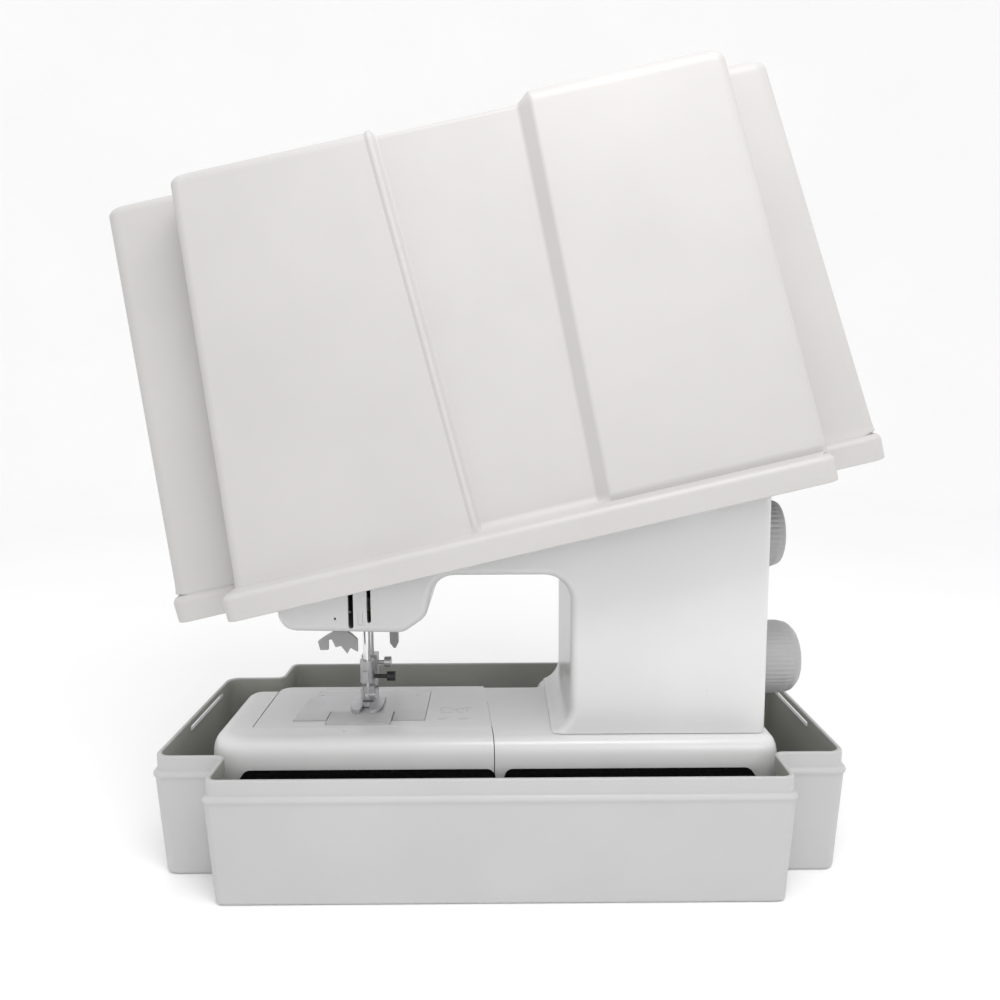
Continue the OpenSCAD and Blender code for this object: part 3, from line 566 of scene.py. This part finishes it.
def cover_ring(z, sizes, bands, strength, lift=0.0):
    """One ring of the cover at height z.

    bands are the x of the ridge and of the step; strength scales the steps between the front bands,
    and lift those over the top."""
    (bl, br, by, ex, ey), (xa, xb) = sizes, bands
    slope = LID_SLOPE * max(0, (z - SHOULDER) / COVER_H)
    sunk, proud, ridge = (max(0.05, v * strength) for v in (SUNK, PROUD, RIDGE))
    half = [(ex, ey, END_R), (br, ey, INNER_R), (br, by + proud, BAY_R + 1),
            (xb + 4, by + proud, 4), (xb - 4, by - sunk, 4),
            (xa + 3.4, by - sunk, 1.2), (xa + 0.8, by + ridge, 0.9), (xa - 1.2, by + ridge, 0.9),
            (xa - 3.2, by, 1.2), (-bl, by, BAY_R + 1), (-bl, ey, INNER_R), (-ex, ey, END_R)]
    points = [(x, y) for x, y, _ in half] + [(x, -y) for x, y, _ in reversed(half)]
    radii = [r for *_, r in half] + [r for *_, r in reversed(half)]
    path = round_path(points, radii, 6)
    return [(p.x, p.y, z - slope * p.x + lift * band_height(p.x, xa, xb)) for p in path]


def ease(x, a, b):
    """A smooth rise from 0 at a to 1 at b."""
    t = max(0, min(1, (x - a) / (b - a)))
    return t * t * (3 - 2 * t)


def band_height(x, xa, xb):
    """How far the cover's top stands above its left band at x."""
    ridge = RIDGE * (ease(x, xa - 3.4, xa - 1.2) - ease(x, xa + 0.8, xa + 3.4))
    sunk = SUNK * 0.6 * (ease(x, xa, xa + 3.4) - ease(x, xb - 4, xb))
    return ridge - sunk + PROUD * 0.8 * ease(x, xb, xb + 4)


def plan_sizes(grow):
    """Half sizes round the tray: the bay to the left and right, its depth, the ends' width and depth."""
    return (BAY_W / 2 + grow, BAY_W / 2 + grow, CASE_D / 2 + grow, CASE_W / 2 + grow, END_D / 2 + grow)


def wall_sizes(h, grow):
    """The same half sizes on the cover's wall, h above its foot."""
    s = h / COVER_H
    return tuple(foot - draw * s + grow for foot, draw in zip(WALL_FOOT, WALL_DRAW))


def band_edges(h):
    """The x of the ridge and of the step, h above the wall's foot."""
    s = h / COVER_H
    return (-29 - 8 * s, 51 + 6 * s)


def skirt_ring(z, grow):
    """A ring on the skirt, where the bands have all but run out."""
    return cover_ring(z, plan_sizes(grow), band_edges(0), 0.02)


def lid_edge(top, h, grow, r, steps):
    """The rings that round the wall over into the top; its sizes are those at h above its foot."""
    return [cover_ring(top - r + r * math.sin(a), wall_sizes(h, grow - r * (1 - math.cos(a))),
                       band_edges(h), 1, lift=math.sin(a)) for a in quarter(steps)]


def make_cover():
    """One skin that runs down the inside, round the skirt and up the outside."""
    play, flare, top_r = 1.5, 4.2, 6
    top = SHOULDER + COVER_H
    edge = play + WALL
    outer = [skirt_ring(SKIRT + 1 - math.sin(a), edge - 1 + math.cos(a)) for a in reversed(quarter(2))]
    outer += [skirt_ring(SKIRT + 13 + flare * math.sin(a), edge - flare * (1 - math.cos(a)))
              for a in quarter(5)]
    outer += [cover_ring(SHOULDER - 2, wall_sizes(0, 0.6), band_edges(0), 0.15),
              cover_ring(SHOULDER + 0.5, wall_sizes(0, 0.1), band_edges(0), 0.6),
              cover_ring(SHOULDER + 3.5, wall_sizes(3.5, 0), band_edges(3.5), 1)]
    outer += lid_edge(top, COVER_H - top_r, 0, top_r, 6)
    inner = [skirt_ring(SKIRT + 0.6, play), skirt_ring(SHOULDER - 5, play),
             cover_ring(SHOULDER - 1, wall_sizes(0, -WALL), band_edges(0), 0.5),
             cover_ring(SHOULDER + 3.5, wall_sizes(3.5, -WALL), band_edges(3.5), 1)]
    inner += lid_edge(top - WALL, COVER_H - top_r - 2, -WALL, top_r, 4)
    rings = list(reversed(inner)) + outer
    shell = skin("case_cover_shell", rings, caps=False)
    add_strip_caps(shell, len(rings[0]), len(rings))
    shell.data.transform(HELD)
    well = box(-52, -26, -16 - WALL, 56, 26, 0.4 - WALL, 8)
    hollow = box(-49.4, -23.4, -16, 53.4, 23.4, 8, 5)
    bore = rod((-53, 0, HANDLE_Z), 2, 108, "x")
    for piece in (well, hollow, bore):
        piece.data.transform(ON_LID)
    join(shell, well)
    cut(shell, hollow, bore)
    finish(shell, "case_cover_shell", "cover", "cover_plastic", ["case_cover"], sharp=38)


def add_strip_caps(obj, n, count):
    """Closes both ends with strips that run from front to back, so that the bands go over the top."""
    bm = bmesh.new()
    bm.from_mesh(obj.data)
    bm.verts.ensure_lookup_table()
    for base in (0, (count - 1) * n):
        for i in range(n // 2 - 1):
            a, b = base + i, base + i + 1
            c, d = base + n - 2 - i, base + n - 1 - i
            bm.faces.new([bm.verts[k] for k in (a, b, c, d)])
    bmesh.ops.recalc_face_normals(bm, faces=bm.faces)
    bm.to_mesh(obj.data)
    bm.free()


def make_case_handle():
    """The handle lies folded in the lid's well and is drawn relative to the lid."""
    z = HANDLE_Z
    bar = box(-48, -22.5, z - 4.5, 52, -13, z + 4.5, 3.6, "x")
    arms = []
    for x in (-48, 44):
        arms.append(box(x, -18, z - 4, x + 8, 0, z + 4, 1.2, "z"))
        arms.append(rod((x, 0, z), 5, 8, "x"))
    handle = join(bar, *arms)
    grooves = [box(x, -23.5, z - 6, x + 1.2, -21.6, z + 6, 0.5, "z") for x in range(-30, 35, 4)]
    cut(handle, rod((-49, 0, z), 2.05, 102, "x"), *grooves)
    handle.data.transform(ON_LID)
    finish(handle, "case_handle_strap", "cover_handle", "cover_plastic", ["case_handle"], bevel=0.8)


def make_foam():
    front, back, bottom, top = -106.3, -71.6, 3.3, 72
    for name, left, right in (("foam_left", -177, -3), ("foam_right", 3, 174)):
        path = round_path(rectangle(left, bottom, right, top), [2, 2, 6, 6], 6)
        block = prism(name, path, front, back, "y", 1.6, 1.6, 3)
        finish(block, name, "case", "foam", ["foam_blocks"], bevel=0.4)


# ---------- the machine's shell ----------

# The pillar, arm and head seen from the front, and the bed's top.
PILLAR_L, PILLAR_R, HEAD_L, ARM_TOP, ARM_UNDER, HEAD_UNDER, BED_Z = 49, 185, -152, 292, 204, 166, 92
# The front and rear faces, the seam between the two casings, and their wall.
FRONT_Y, REAR_Y, SEAM_Y, SHELL = -62, 58, -3, 2.5
NEEDLE_X, NEEDLE_Y, PRESSER_Y = -100, -4, 12
SHAFT_Z, DIAL_Y, DIAL_Z = 223.5, -20, 134
TENSION_X, TENSION_Z, LENGTH_X, LENGTH_Z = -58, 250, 128, 262
HINGE_Y, HINGE_Z = 40, ARM_TOP + 6    # the carry handle's pins
FACE_SCREW = (-2, 194)                # in (y, z), on the head's end
REAR_SCREWS = [(-120, 200), (-120, 270), (70, 120), (165, 120), (165, 275)]
PAN_SCREWS = [(x, y) for x in (46, 155) for y in (-50, 40)]


def upper_path():
    """The pillar, arm and head in the X-Z plane, running on below the bed to be trimmed."""
    foot = BED_Z - 12
    toe = arc(Vector((PILLAR_L - 18, BED_Z + 18.2)), 18, 0, -math.radians(72), 7)
    low_left = Vector((toe[-1].x, foot))
    points = [Vector((PILLAR_R, foot)), Vector((PILLAR_R, ARM_TOP)), Vector((HEAD_L, ARM_TOP)),
              Vector((HEAD_L, HEAD_UNDER)), Vector((-66, HEAD_UNDER - 2)), Vector((-50, HEAD_UNDER + 9)),
              Vector((-43, ARM_UNDER)), Vector((PILLAR_L, ARM_UNDER)), toe[0]]
    radii = [0, 24, 26, 13, 12, 14, 16, 18, 0]
    body = []
    for i, r in enumerate(radii[:-1]):
        body += rounded_corner(points[i - 1] if i else low_left, points[i], points[i + 1], r, 7)
    return body + toe + [low_left]


def shell_half(name, y_outer, y_seam, edge):
    """One half of the upper casing: a hollow prism with a rounded outer face."""
    outer_path = upper_path()
    inner_path = inset(outer_path, SHELL)
    front = y_outer < y_seam
    lo, hi = (y_outer, y_seam) if front else (y_seam, y_outer)
    radii = (edge, 0) if front else (0, edge)
    shell = prism(name, outer_path, lo, hi, "y", *radii, steps=7)
    room = (lo + SHELL, hi + 5) if front else (lo - 5, hi - SHELL)
    softer = (edge - SHELL, 0) if front else (0, edge - SHELL)
    cavity = prism("cavity", inner_path, *room, "y", *softer, steps=5)
    under = box(-60, -90, 40, 220, 90, BED_Z + 0.2)
    cut(shell, cavity, under)
    return shell


def shared_holes():
    """Cutters for what passes through either casing or through both: shafts, dials, bars and handles."""
    return [
        rod((PILLAR_R - 5, NEEDLE_Y, SHAFT_Z), 7, 10, "x"),
        rod((PILLAR_R - 5, DIAL_Y, DIAL_Z), 8, 10, "x"),
        box(NEEDLE_X - 7.5, NEEDLE_Y - 6, HEAD_UNDER - 5, NEEDLE_X + 7.5, PRESSER_Y + 7, HEAD_UNDER + 6, 3),
        box(NEEDLE_X - 17, -19, HEAD_UNDER - 5, NEEDLE_X - 9.5, -11, HEAD_UNDER + 6, 2),
        box(HEAD_L - 2, -34, 186, HEAD_L + 5, 30, 270, 5, "x"),
        rod((-20, 34, ARM_TOP - 5), 5.5, 10),
        box(134, -33, ARM_TOP - 5, 166, -7, ARM_TOP + 5, 6),
        rod((172, -14, ARM_TOP - 15), 2.1, 20),
    ]


def loop_mark(x, z, w, h, t):
    """The outline of a plain loop, open at the top: half width w, height h over its middle, stroke t."""
    middle, top = Vector((x, z)), z + h
    outer = [Vector((x - w, top))] + arc(middle, w, math.pi, 2 * math.pi, 10) + [Vector((x + w, top))]
    inner = [Vector((x + w - t, top))] + arc(middle, w - t, 2 * math.pi, math.pi, 10)
    return outer + inner + [Vector((x - w + t, top))]


def front_hole(x, z, r, depth=8):
    return rod((x, FRONT_Y - 1, z), r, depth, "y")


def front_slot(x0, z0, x1, z1, r):
    return box(x0, FRONT_Y - 1, z0, x1, FRONT_Y + 6, z1, r, "y")


def make_upper_casing():
    front = shell_half("front_casing_shell", FRONT_Y, SEAM_Y, 5.5)
    slot_top = 274
    cut(front, *shared_holes(),
        front_slot(NEEDLE_X - 3, HEAD_UNDER + 2, NEEDLE_X + 0.6, slot_top, 1.7),
        front_slot(-90.2, HEAD_UNDER + 6, -87.4, slot_top, 1.3),
        front_hole(TENSION_X, TENSION_Z, 4.5), front_hole(LENGTH_X, LENGTH_Z, 4.5),
        front_hole(80, 262, 8.5), front_hole(-112, 175, 0.9, 5),
        prism("loop", loop_mark(-94.6, 172, 1.8, 7, 0.5), FRONT_Y - 2, FRONT_Y + 0.6, "y"))
    finish(front, "front_casing_shell", "machine", "machine_plastic", ["front_casing"], sharp=36)
    rear = shell_half("rear_casing_shell", REAR_Y, SEAM_Y + 0.35, 7)
    vents = [box(x, REAR_Y - 6, z, x + 34, REAR_Y + 4, z + 2.4, 1.1, "y")
             for x in (60, 106) for z in range(232, 261, 7)]
    cut(rear, *shared_holes(), rod((-88, REAR_Y - 8, 176), 4.5, 12, "y"), *vents,
        *[rod((x, REAR_Y - 8, z), 1.8, 12, "y") for x, z in REAR_SCREWS])
    finish(rear, "rear_casing_shell", "machine", "machine_plastic", ["rear_casing"], sharp=36)


def make_face_plate():
    outline = round_path(rectangle(-33.7, 186.3, 29.7, 269.7), 5)
    inner = round_path(rectangle(-31, 189, 27, 267), 4)
    plate = prism("face", outline, HEAD_L - 0.6, HEAD_L + 1.4, "x", 0.8)
    join(plate, prism("rib", inner, HEAD_L + 1.2, HEAD_L + 2.4, "x"))
    grip = [box(HEAD_L - 2, -10, z, HEAD_L + 0.1, 6, z + 1.2, 0.5, "x") for z in (252, 255, 258, 261)]
    cut(plate, rod((HEAD_L - 2, *FACE_SCREW), 1.8, 8, "x"), *grip)
    finish(plate, "face_plate_cover", "machine", "machine_plastic", ["face_plate"], bevel=0.3)


# ---------- the bed ----------

# The left, right, front and rear sides of the bed with its accessory box, and those of the free arm.
BED_L, BED_R, BED_F, BED_B = -203, 194, -71, 66
ARM_L, ARM_F, ARM_B, ARM_LOW = -176, -46, 38, 38
PAN_IN = 9.6    # how far the base pan's edge lies inside the bed's
# The bed's side as (height, how far it lies inside the outline).
BED_PROFILE = [(12.4, 8), (15, 7), (40, 4), (60, 1.2), (70, 0.2), (74, 0), (80, 0.5), (84, 1.3), (87.2, 2.7),
               (89.4, 4.6), (91, 7.6), (92, 12)]


def bed_block(name, path):
    """A block whose sides swell out below its soft top edge and draw in towards the foot."""
    return skin(name, [flat_ring(inset(path, t), z) for z, t in BED_PROFILE])


def seam_cutter(side, shift):
    """A slab that covers everything to one side of the slanted seam between bed and accessory box."""
    far = side * 400
    line = [Vector((-15.9 + shift, 71)), Vector((-2.7 + shift, -78))]
    corners = [line[0], line[1], Vector((far, -78)), Vector((far, 71))]
    if side < 0:
        corners.reverse()
    return prism("seam", corners, 0, 120)


def seam_groove():
    """The fine line that carries the seam on over the bed's top."""
    line = [Vector((-9.8, 2)), Vector((-5.8, -46)), Vector((-5.3, -46)), Vector((-9.3, 2))]
    return prism("line", line, BED_Z - 0.5, BED_Z + 1)


# The needle plate's recess, which follows the plate's slanted left side.
PLATE_HOLE = [(-150.5, -35.3), (-54.2, -35.3), (-54.2, 26.3), (-143.4, 26.3), (-147.2, 0.1)]


def make_bed():
    outline = round_path([(-40, BED_F), (BED_R, BED_F), (BED_R, BED_B), (30, BED_B), (30, 44), (-40, 44)],
                         [0, 13, 13, 13, 3, 0])
    base = bed_block("bed_shell", outline)
    hollow_top = BED_Z - SHELL
    hollow = prism("hollow", round_path(rectangle(2, BED_F + 11, BED_R - 11, 32), 8), 5, hollow_top)
    rear_hollow = prism("hollow", round_path(rectangle(44, 0, BED_R - 11, BED_B - 11), 8), 5, hollow_top)
    cut(base, seam_cutter(-1, 0), hollow, rear_hollow, seam_groove(),
        box(58, -50, BED_Z - 4, 176, 50, BED_Z + 1, 4),
        box(BED_R - 14, 14, 40, BED_R + 1, 34, 54, 1.5, "x"),
        box(BED_R - 14, -16, 36, BED_R + 1, 6, 58, 2, "x"))
    arm_outline = round_path(rectangle(ARM_L, ARM_F, 20, ARM_B), [3, 0, 0, 9])
    arm = prism("arm", arm_outline, ARM_LOW, BED_Z, "z", 5, 0.8)
    cut(arm, seam_cutter(1, 0),
        box(ARM_L + 3, ARM_F + 3, ARM_LOW + 3, -16, ARM_B - 3, hollow_top, 4), seam_groove(),
        prism("recess", [Vector(p) for p in PLATE_HOLE], BED_Z - 4, BED_Z + 1),
        box(-125.6, -42.5, BED_Z - 4, -78.4, -30, BED_Z + 1, 1.5))
    merge(base, arm)
    finish(base, "bed_shell", "machine", "machine_plastic", ["bed_casing"], sharp=36)


def make_bed_marks():
    """Faint strokes and open rings printed on the bed beside the needle plate."""
    low, high = BED_Z - 0.1, BED_Z + 0.06
    # Each stroke is (x, y, width, depth) from its front left corner.
    strokes = ((-45, -31.5, 8, 0.9), (-45, -34, 5, 0.9), (-30, -31.5, 9, 0.9), (-30, -34, 6, 0.9),
               (-44, -20, 9, 0.7), (-31, -20, 4, 0.7), (-24.5, -20, 0.7, 10), (-27, -10.5, 6, 0.7),
               (-36, -14, 4, 0.7))
    marks = [box(x, y, low, x + w, y + d, high) for x, y, w, d in strokes]
    for x, y, r in ((-40.5, -13, 4.2), (-29.5, -14.5, 3.4)):
        middle, start, end, stroke = Vector((x, y)), 0.3, 4.4, 0.8
        ring = arc(middle, r, start, end, 12) + arc(middle, r - stroke, end, start, 12)
        marks.append(prism("ring", ring, low, high))
    finish(merge(*marks), "bed_marks", "machine", "mark_grey", slot="dial_plastic")


def make_accessory_box():
    outline = round_path([(BED_L, BED_F), (30, BED_F), (30, ARM_B), (BED_L, ARM_B)], [24, 0, 0, 14])
    block = bed_block("accessory_box_shell", outline)
    arm = box(ARM_L - 0.5, ARM_F - 0.5, 0, 60, 80, 120, 2.5)
    store = box(BED_L + 20, BED_F + 10, 16, -11, ARM_F + 1, BED_Z - 6, 4)
    cut(block, arm, seam_cutter(1, -0.6), store)
    pull = box(BED_L + 20, ARM_B - 3, 30, BED_L + 60, ARM_B + 3, 44, 3, "y")
    cut(block, pull)
    finish(block, "accessory_box_shell", "accessory_store", "machine_plastic", ["accessory_box"], sharp=36)


def make_pan():
    right, front, rear = BED_R - PAN_IN, BED_F + PAN_IN, BED_B - PAN_IN
    outline = round_path([(-5, front), (right, front), (right, rear), (39, rear),
                          (39, ARM_B), (-170, ARM_B), (-170, -40), (-5, -40)], [6, 12, 12, 6, 0, 8, 8, 0])
    pan = prism("base_pan_plate", outline, 7.2, 12.1, "z", 1.5, 0.5)
    ribs = [box(x, -55, 6.9, x + 2, 50, 8, 0.8) for x in (60, 80, 100, 120)]
    cut(pan, *[rod((x, y, 5), 2.1, 10) for x, y in PAN_SCREWS], *ribs)
    finish(pan, "base_pan_plate", "machine", "arm_plastic", ["base_pan"], bevel=0.3)


# ---------- wheels, dials and handles ----------

def turned(points, radii):
    """A profile of (radius, height) for lathe, with rounded corners."""
    return [(p.x, p.y) for p in round_path(points, radii, 5)]


def make_handwheel():
    x0, r, bore = PILLAR_R + 1, 25, 5.02
    profile = turned([(bore, 0), (r - 1.5, 0), (r, 3), (r, 15), (r - 2, 20.5), (r - 8, 22.5), (9, 21),
                      (bore, 21)], [0, 1, 1, 2, 3, 3, 1, 0])

    def ribs(a, radius, h):
        inside = radius > r - 2.4 and 2 < h < 18
        return -0.55 * (0.5 + 0.5 * math.cos(a * 40)) ** 3 if inside else 0

    wheel = lathe("handwheel_rim", profile, (x0, NEEDLE_Y, SHAFT_Z), "x", 320, ribs)
    finish(wheel, "handwheel_rim", "drive", "dial_plastic", ["handwheel"], sharp=34)


def make_pattern_dial():
    x0, r = PILLAR_R + 0.5, 26.5
    profile = turned([(0, -8.5), (6, -8.5), (6, 0), (r - 1, 0), (r, 2), (r, 19), (r - 1.5, 26), (r - 7, 31.4),
                      (0, 32)], [0, 0.5, 0.5, 0.6, 1, 6, 6, 8, 0])

    def fluted(a, radius, h):
        return -0.45 * (0.5 + 0.5 * math.cos(a * 48)) ** 2 if radius > r - 3 and 3 < h < 22 else 0

    dial = lathe("pattern_dial_knob", profile, (x0, DIAL_Y, DIAL_Z), "x", 384, fluted)
    mark = box(x0 + 20, DIAL_Y - 0.5, DIAL_Z + 12, x0 + 40, DIAL_Y + 0.5, DIAL_Z + 24, 0.4, "x")
    cut(dial, mark)
    finish(dial, "pattern_dial_knob", "pattern_knob", "dial_plastic", ["pattern_dial"], sharp=34)
    collar = lathe("dial_collar", [(r - 9, -0.4), (r + 1.6, -0.4), (r + 1.2, 0.2), (r - 2, 0.35), (r - 9, 0.3)],
                   (PILLAR_R, DIAL_Y, DIAL_Z), "x", 96)
    finish(collar, "dial_collar", "machine", "machine_plastic")


def front_dial(name, body, node, x, z, r, h, flutes):
    """A fluted dial of radius r that stands h out of the front, on a stem that runs into the casing."""
    stem = 4
    profile = turned([(0, h + 14), (stem, h + 14), (stem, h + 0.5), (r - 0.5, h), (r, h - 1.5), (r - 0.8, 0.8),
                      (r - 2.5, 0), (0, 0.3)], [0, 0.4, 0.5, 0.6, 1, 1, 1.2, 0])

    def fluted(a, radius, depth):
        return -0.5 * (0.5 + 0.5 * math.cos(a * flutes)) ** 2 if radius > r - 1.6 and depth < h - 1 else 0

    face = FRONT_Y - h
    dial = lathe(name, profile, (x, FRONT_Y - 0.3 - h, z), "y", flutes * 8, fluted)
    cut(dial, box(x - 0.5, face - 2, z + r * 0.35, x + 0.5, face + 0.2, z + r * 0.85, 0.3, "y"))
    finish(dial, name, body, "arm_plastic", [node], sharp=34)


def make_carry_handle():
    bar = box(24, -2, ARM_TOP + 1.6, 126, 13, ARM_TOP + 10.4, 3.8, "x")
    arms = []
    for x in (24, 118):
        arms.append(box(x, 6, ARM_TOP + 2.5, x + 8, HINGE_Y, ARM_TOP + 9.5, 1.5, "x"))
        arms.append(rod((x, HINGE_Y, HINGE_Z), 5, 8, "x"))
    handle = join(bar, *arms)
    grooves = [box(x, -3, ARM_TOP + 9.8, x + 1.4, 14, ARM_TOP + 12, 0.6, "y") for x in range(48, 104, 5)]
    cut(handle, rod((23, HINGE_Y, HINGE_Z), 2.05, 104, "x"), *grooves)
    finish(handle, "carry_handle_grip", "top_handle", "machine_plastic", ["carry_handle"], bevel=0.9)


# ---------- small metal and plastic pieces ----------

def recessed_screw(at, axis, r, h, side, shank_r, shank):
    """A pan-head screw with a cross in its head; side is +1 when the head faces up the axis."""
    profile = [(0, -shank), (shank_r, -shank), (shank_r, 0), (r * 0.92, 0), (r, 0.25), (r * 0.9, h * 0.7),
               (r * 0.5, h), (0, h * 1.02)]
    screw = lathe("screw", [(a, side * b) for a, b in profile], at, axis, SMALL_ROUND)
    x, y, z = at
    lo, hi = sorted((side * h * 0.35, side * h * 1.6))
    narrow, wide = 0.22 * r, 0.62 * r
    for w, l in ((narrow, wide), (wide, narrow)):
        if axis == "x":
            groove = box(x + lo, y - w, z - l, x + hi, y + w, z + l, 0, "x")
        elif axis == "y":
            groove = box(x - w, y + lo, z - l, x + w, y + hi, z + l, 0, "y")
        else:
            groove = box(x - w, y - l, z + lo, x + w, y + l, z + hi)
        cut(screw, groove)
    return screw


def make_casing_screws():
    screws = [recessed_screw((x, REAR_Y, z), "y", 3, 1.6, 1, 1.75, 8) for x, z in REAR_SCREWS]
    screws.append(recessed_screw((HEAD_L - 0.6, *FACE_SCREW), "x", 3, 1.2, -1, 1.75, 4))
    screws += [recessed_screw((x, y, 7.2), "z", 1.9, 0.4, -1, 1.4, 4) for x, y in PAN_SCREWS]
    finish(merge(*screws), "casing_screw_heads", "machine", "bright_steel", ["casing_screws"])


def polish(node, material, bevel):
    """Gives a CAD node that stays its material and soft edges."""
    obj = nodes[node]
    weld = obj.modifiers.new("weld", "WELD")
    weld.merge_threshold = 1e-6
    soften_edges(obj, bevel, 42)
    weight_normals(obj)
    give_material(obj, material)


# The CAD nodes that stay, under the material each one gets.
POLISHED = {
    "bright_steel": ["latch_pins", "case_handle_pins", "handle_pins", "bobbin_winder_spindle", "main_shaft",
                     "motor_pulley", "lower_shaft", "hook", "needle_bar", "needle", "take_up_lever",
                     "presser_bar"],
    "plate_steel": ["needle_plate", "bobbin_winder_arm", "feed_dog", "needle_clamp", "foot_holder",
                    "presser_foot"],
    "dark_steel": ["needle_crank", "timing_pulley", "motor", "needle_link"],
    "cast_alloy": ["machine_frame", "drive_pulley"],
    "bronze": ["shaft_bushes"],
    "rubber": ["rubber_feet", "motor_belt", "timing_belt"],
    "tray_plastic": ["latch_left", "latch_right"],
    "arm_plastic": ["spool_pin", "winder_stop", "reverse_button"],
    "slide_plastic": ["bobbin_cover"],
    "dial_plastic": ["presser_lifter", "needle_threader"],
    "dark_plastic": ["bobbin_case", "needle_clamp_screw", "power_switch", "power_inlet"],
    "clear_plastic": ["bobbin", "work_lamp"],
    "board": ["control_board"],
}
# Edge widths in millimetres; the nodes that aren't named here get the common one.
COMMON_EDGE = 0.35
EDGES = {"needle": 0.05, "feed_dog": 0.08, "needle_plate": 0.15, "bobbin": 0.15, "latch_pins": 0.2,
         "needle_clamp": 0.3, "presser_foot": 0.3, "needle_clamp_screw": 0.3, "main_shaft": 0.4}


def polish_cad_nodes():
    for material, names in POLISHED.items():
        for node in names:
            polish(node, material, EDGES.get(node, COMMON_EDGE))
    # The spring's wire is round already, so its edges stay as they are.
    give_material(nodes["presser_spring"], "bright_steel")


# ---------- floor and light ----------

def make_stage():
    """A floor that bends up into a back wall; its profile is in (y, z)."""
    s = Shader("floor", (0.955, 0.955, 0.955), 0.8, specular=0.2)
    s.mottle(3, 0.01)
    s.bump(s.noise(300, 2), 0.05, 0.3)
    near, back, bend, top, wide = -3500, 1600, 900, 4500, 5000
    profile = [Vector((near, 0)), Vector((back, 0))]
    profile += arc(Vector((back, bend)), bend, -math.pi / 2, 0, 16)[1:] + [Vector((back + bend, top))]
    points = [(x, p.x, p.y) for p in profile for x in (-wide, wide)]
    faces = [(2 * i, 2 * i + 1, 2 * i + 3, 2 * i + 2) for i in range(len(profile) - 1)]
    floor = new_mesh("studio_floor", points, faces)
    for face in floor.data.polygons:
        face.use_smooth = True
    floor.data.materials.append(s.done())


# Each lamp's name, place, aim, size (metres), spread (degrees) and power (watts).
LAMPS = (
    ("key", (0.12, -0.5, 0.95), (0, -0.05, 0.5), 0.45, 150, 2.8),
    ("fill", (0.45, -1.4, 0.55), (0, 0, 0.05), 0.6, 26, 0.13),
)


def make_lights():
    """A white sky, a soft key above the front, and a narrow fill on the tray."""
    world = bpy.data.worlds.new("world")
    world.use_nodes = True
    sky = world.node_tree.nodes["Background"]
    sky.inputs["Color"].default_value = (1, 1, 1, 1)
    sky.inputs["Strength"].default_value = 1.02
    scene.world = world
    for name, place, aim, size, spread, power in LAMPS:
        data = bpy.data.lights.new(name, "AREA")
        data.energy = power
        data.size = size
        data.spread = math.radians(spread)
        lamp = bpy.data.objects.new(name, data)
        lamp.location = place
        lamp.rotation_euler = (Vector(aim) - Vector(place)).to_track_quat("-Z", "Y").to_euler()
        scene.collection.objects.link(lamp)
    scene.view_settings.view_transform = "Standard"


make_camera()
make_tray()
make_cover()
make_case_handle()
make_foam()
make_upper_casing()
make_face_plate()
make_bed()
make_bed_marks()
make_accessory_box()
make_pan()
make_handwheel()
make_pattern_dial()
front_dial("tension_dial_knob", "tension_knob", "tension_dial", TENSION_X, TENSION_Z, 12, 7.7, 36)
front_dial("length_dial_knob", "length_knob", "length_dial", LENGTH_X, LENGTH_Z, 14, 8.7, 42)
make_carry_handle()
make_casing_screws()
polish_cad_nodes()
make_stage()
make_lights()
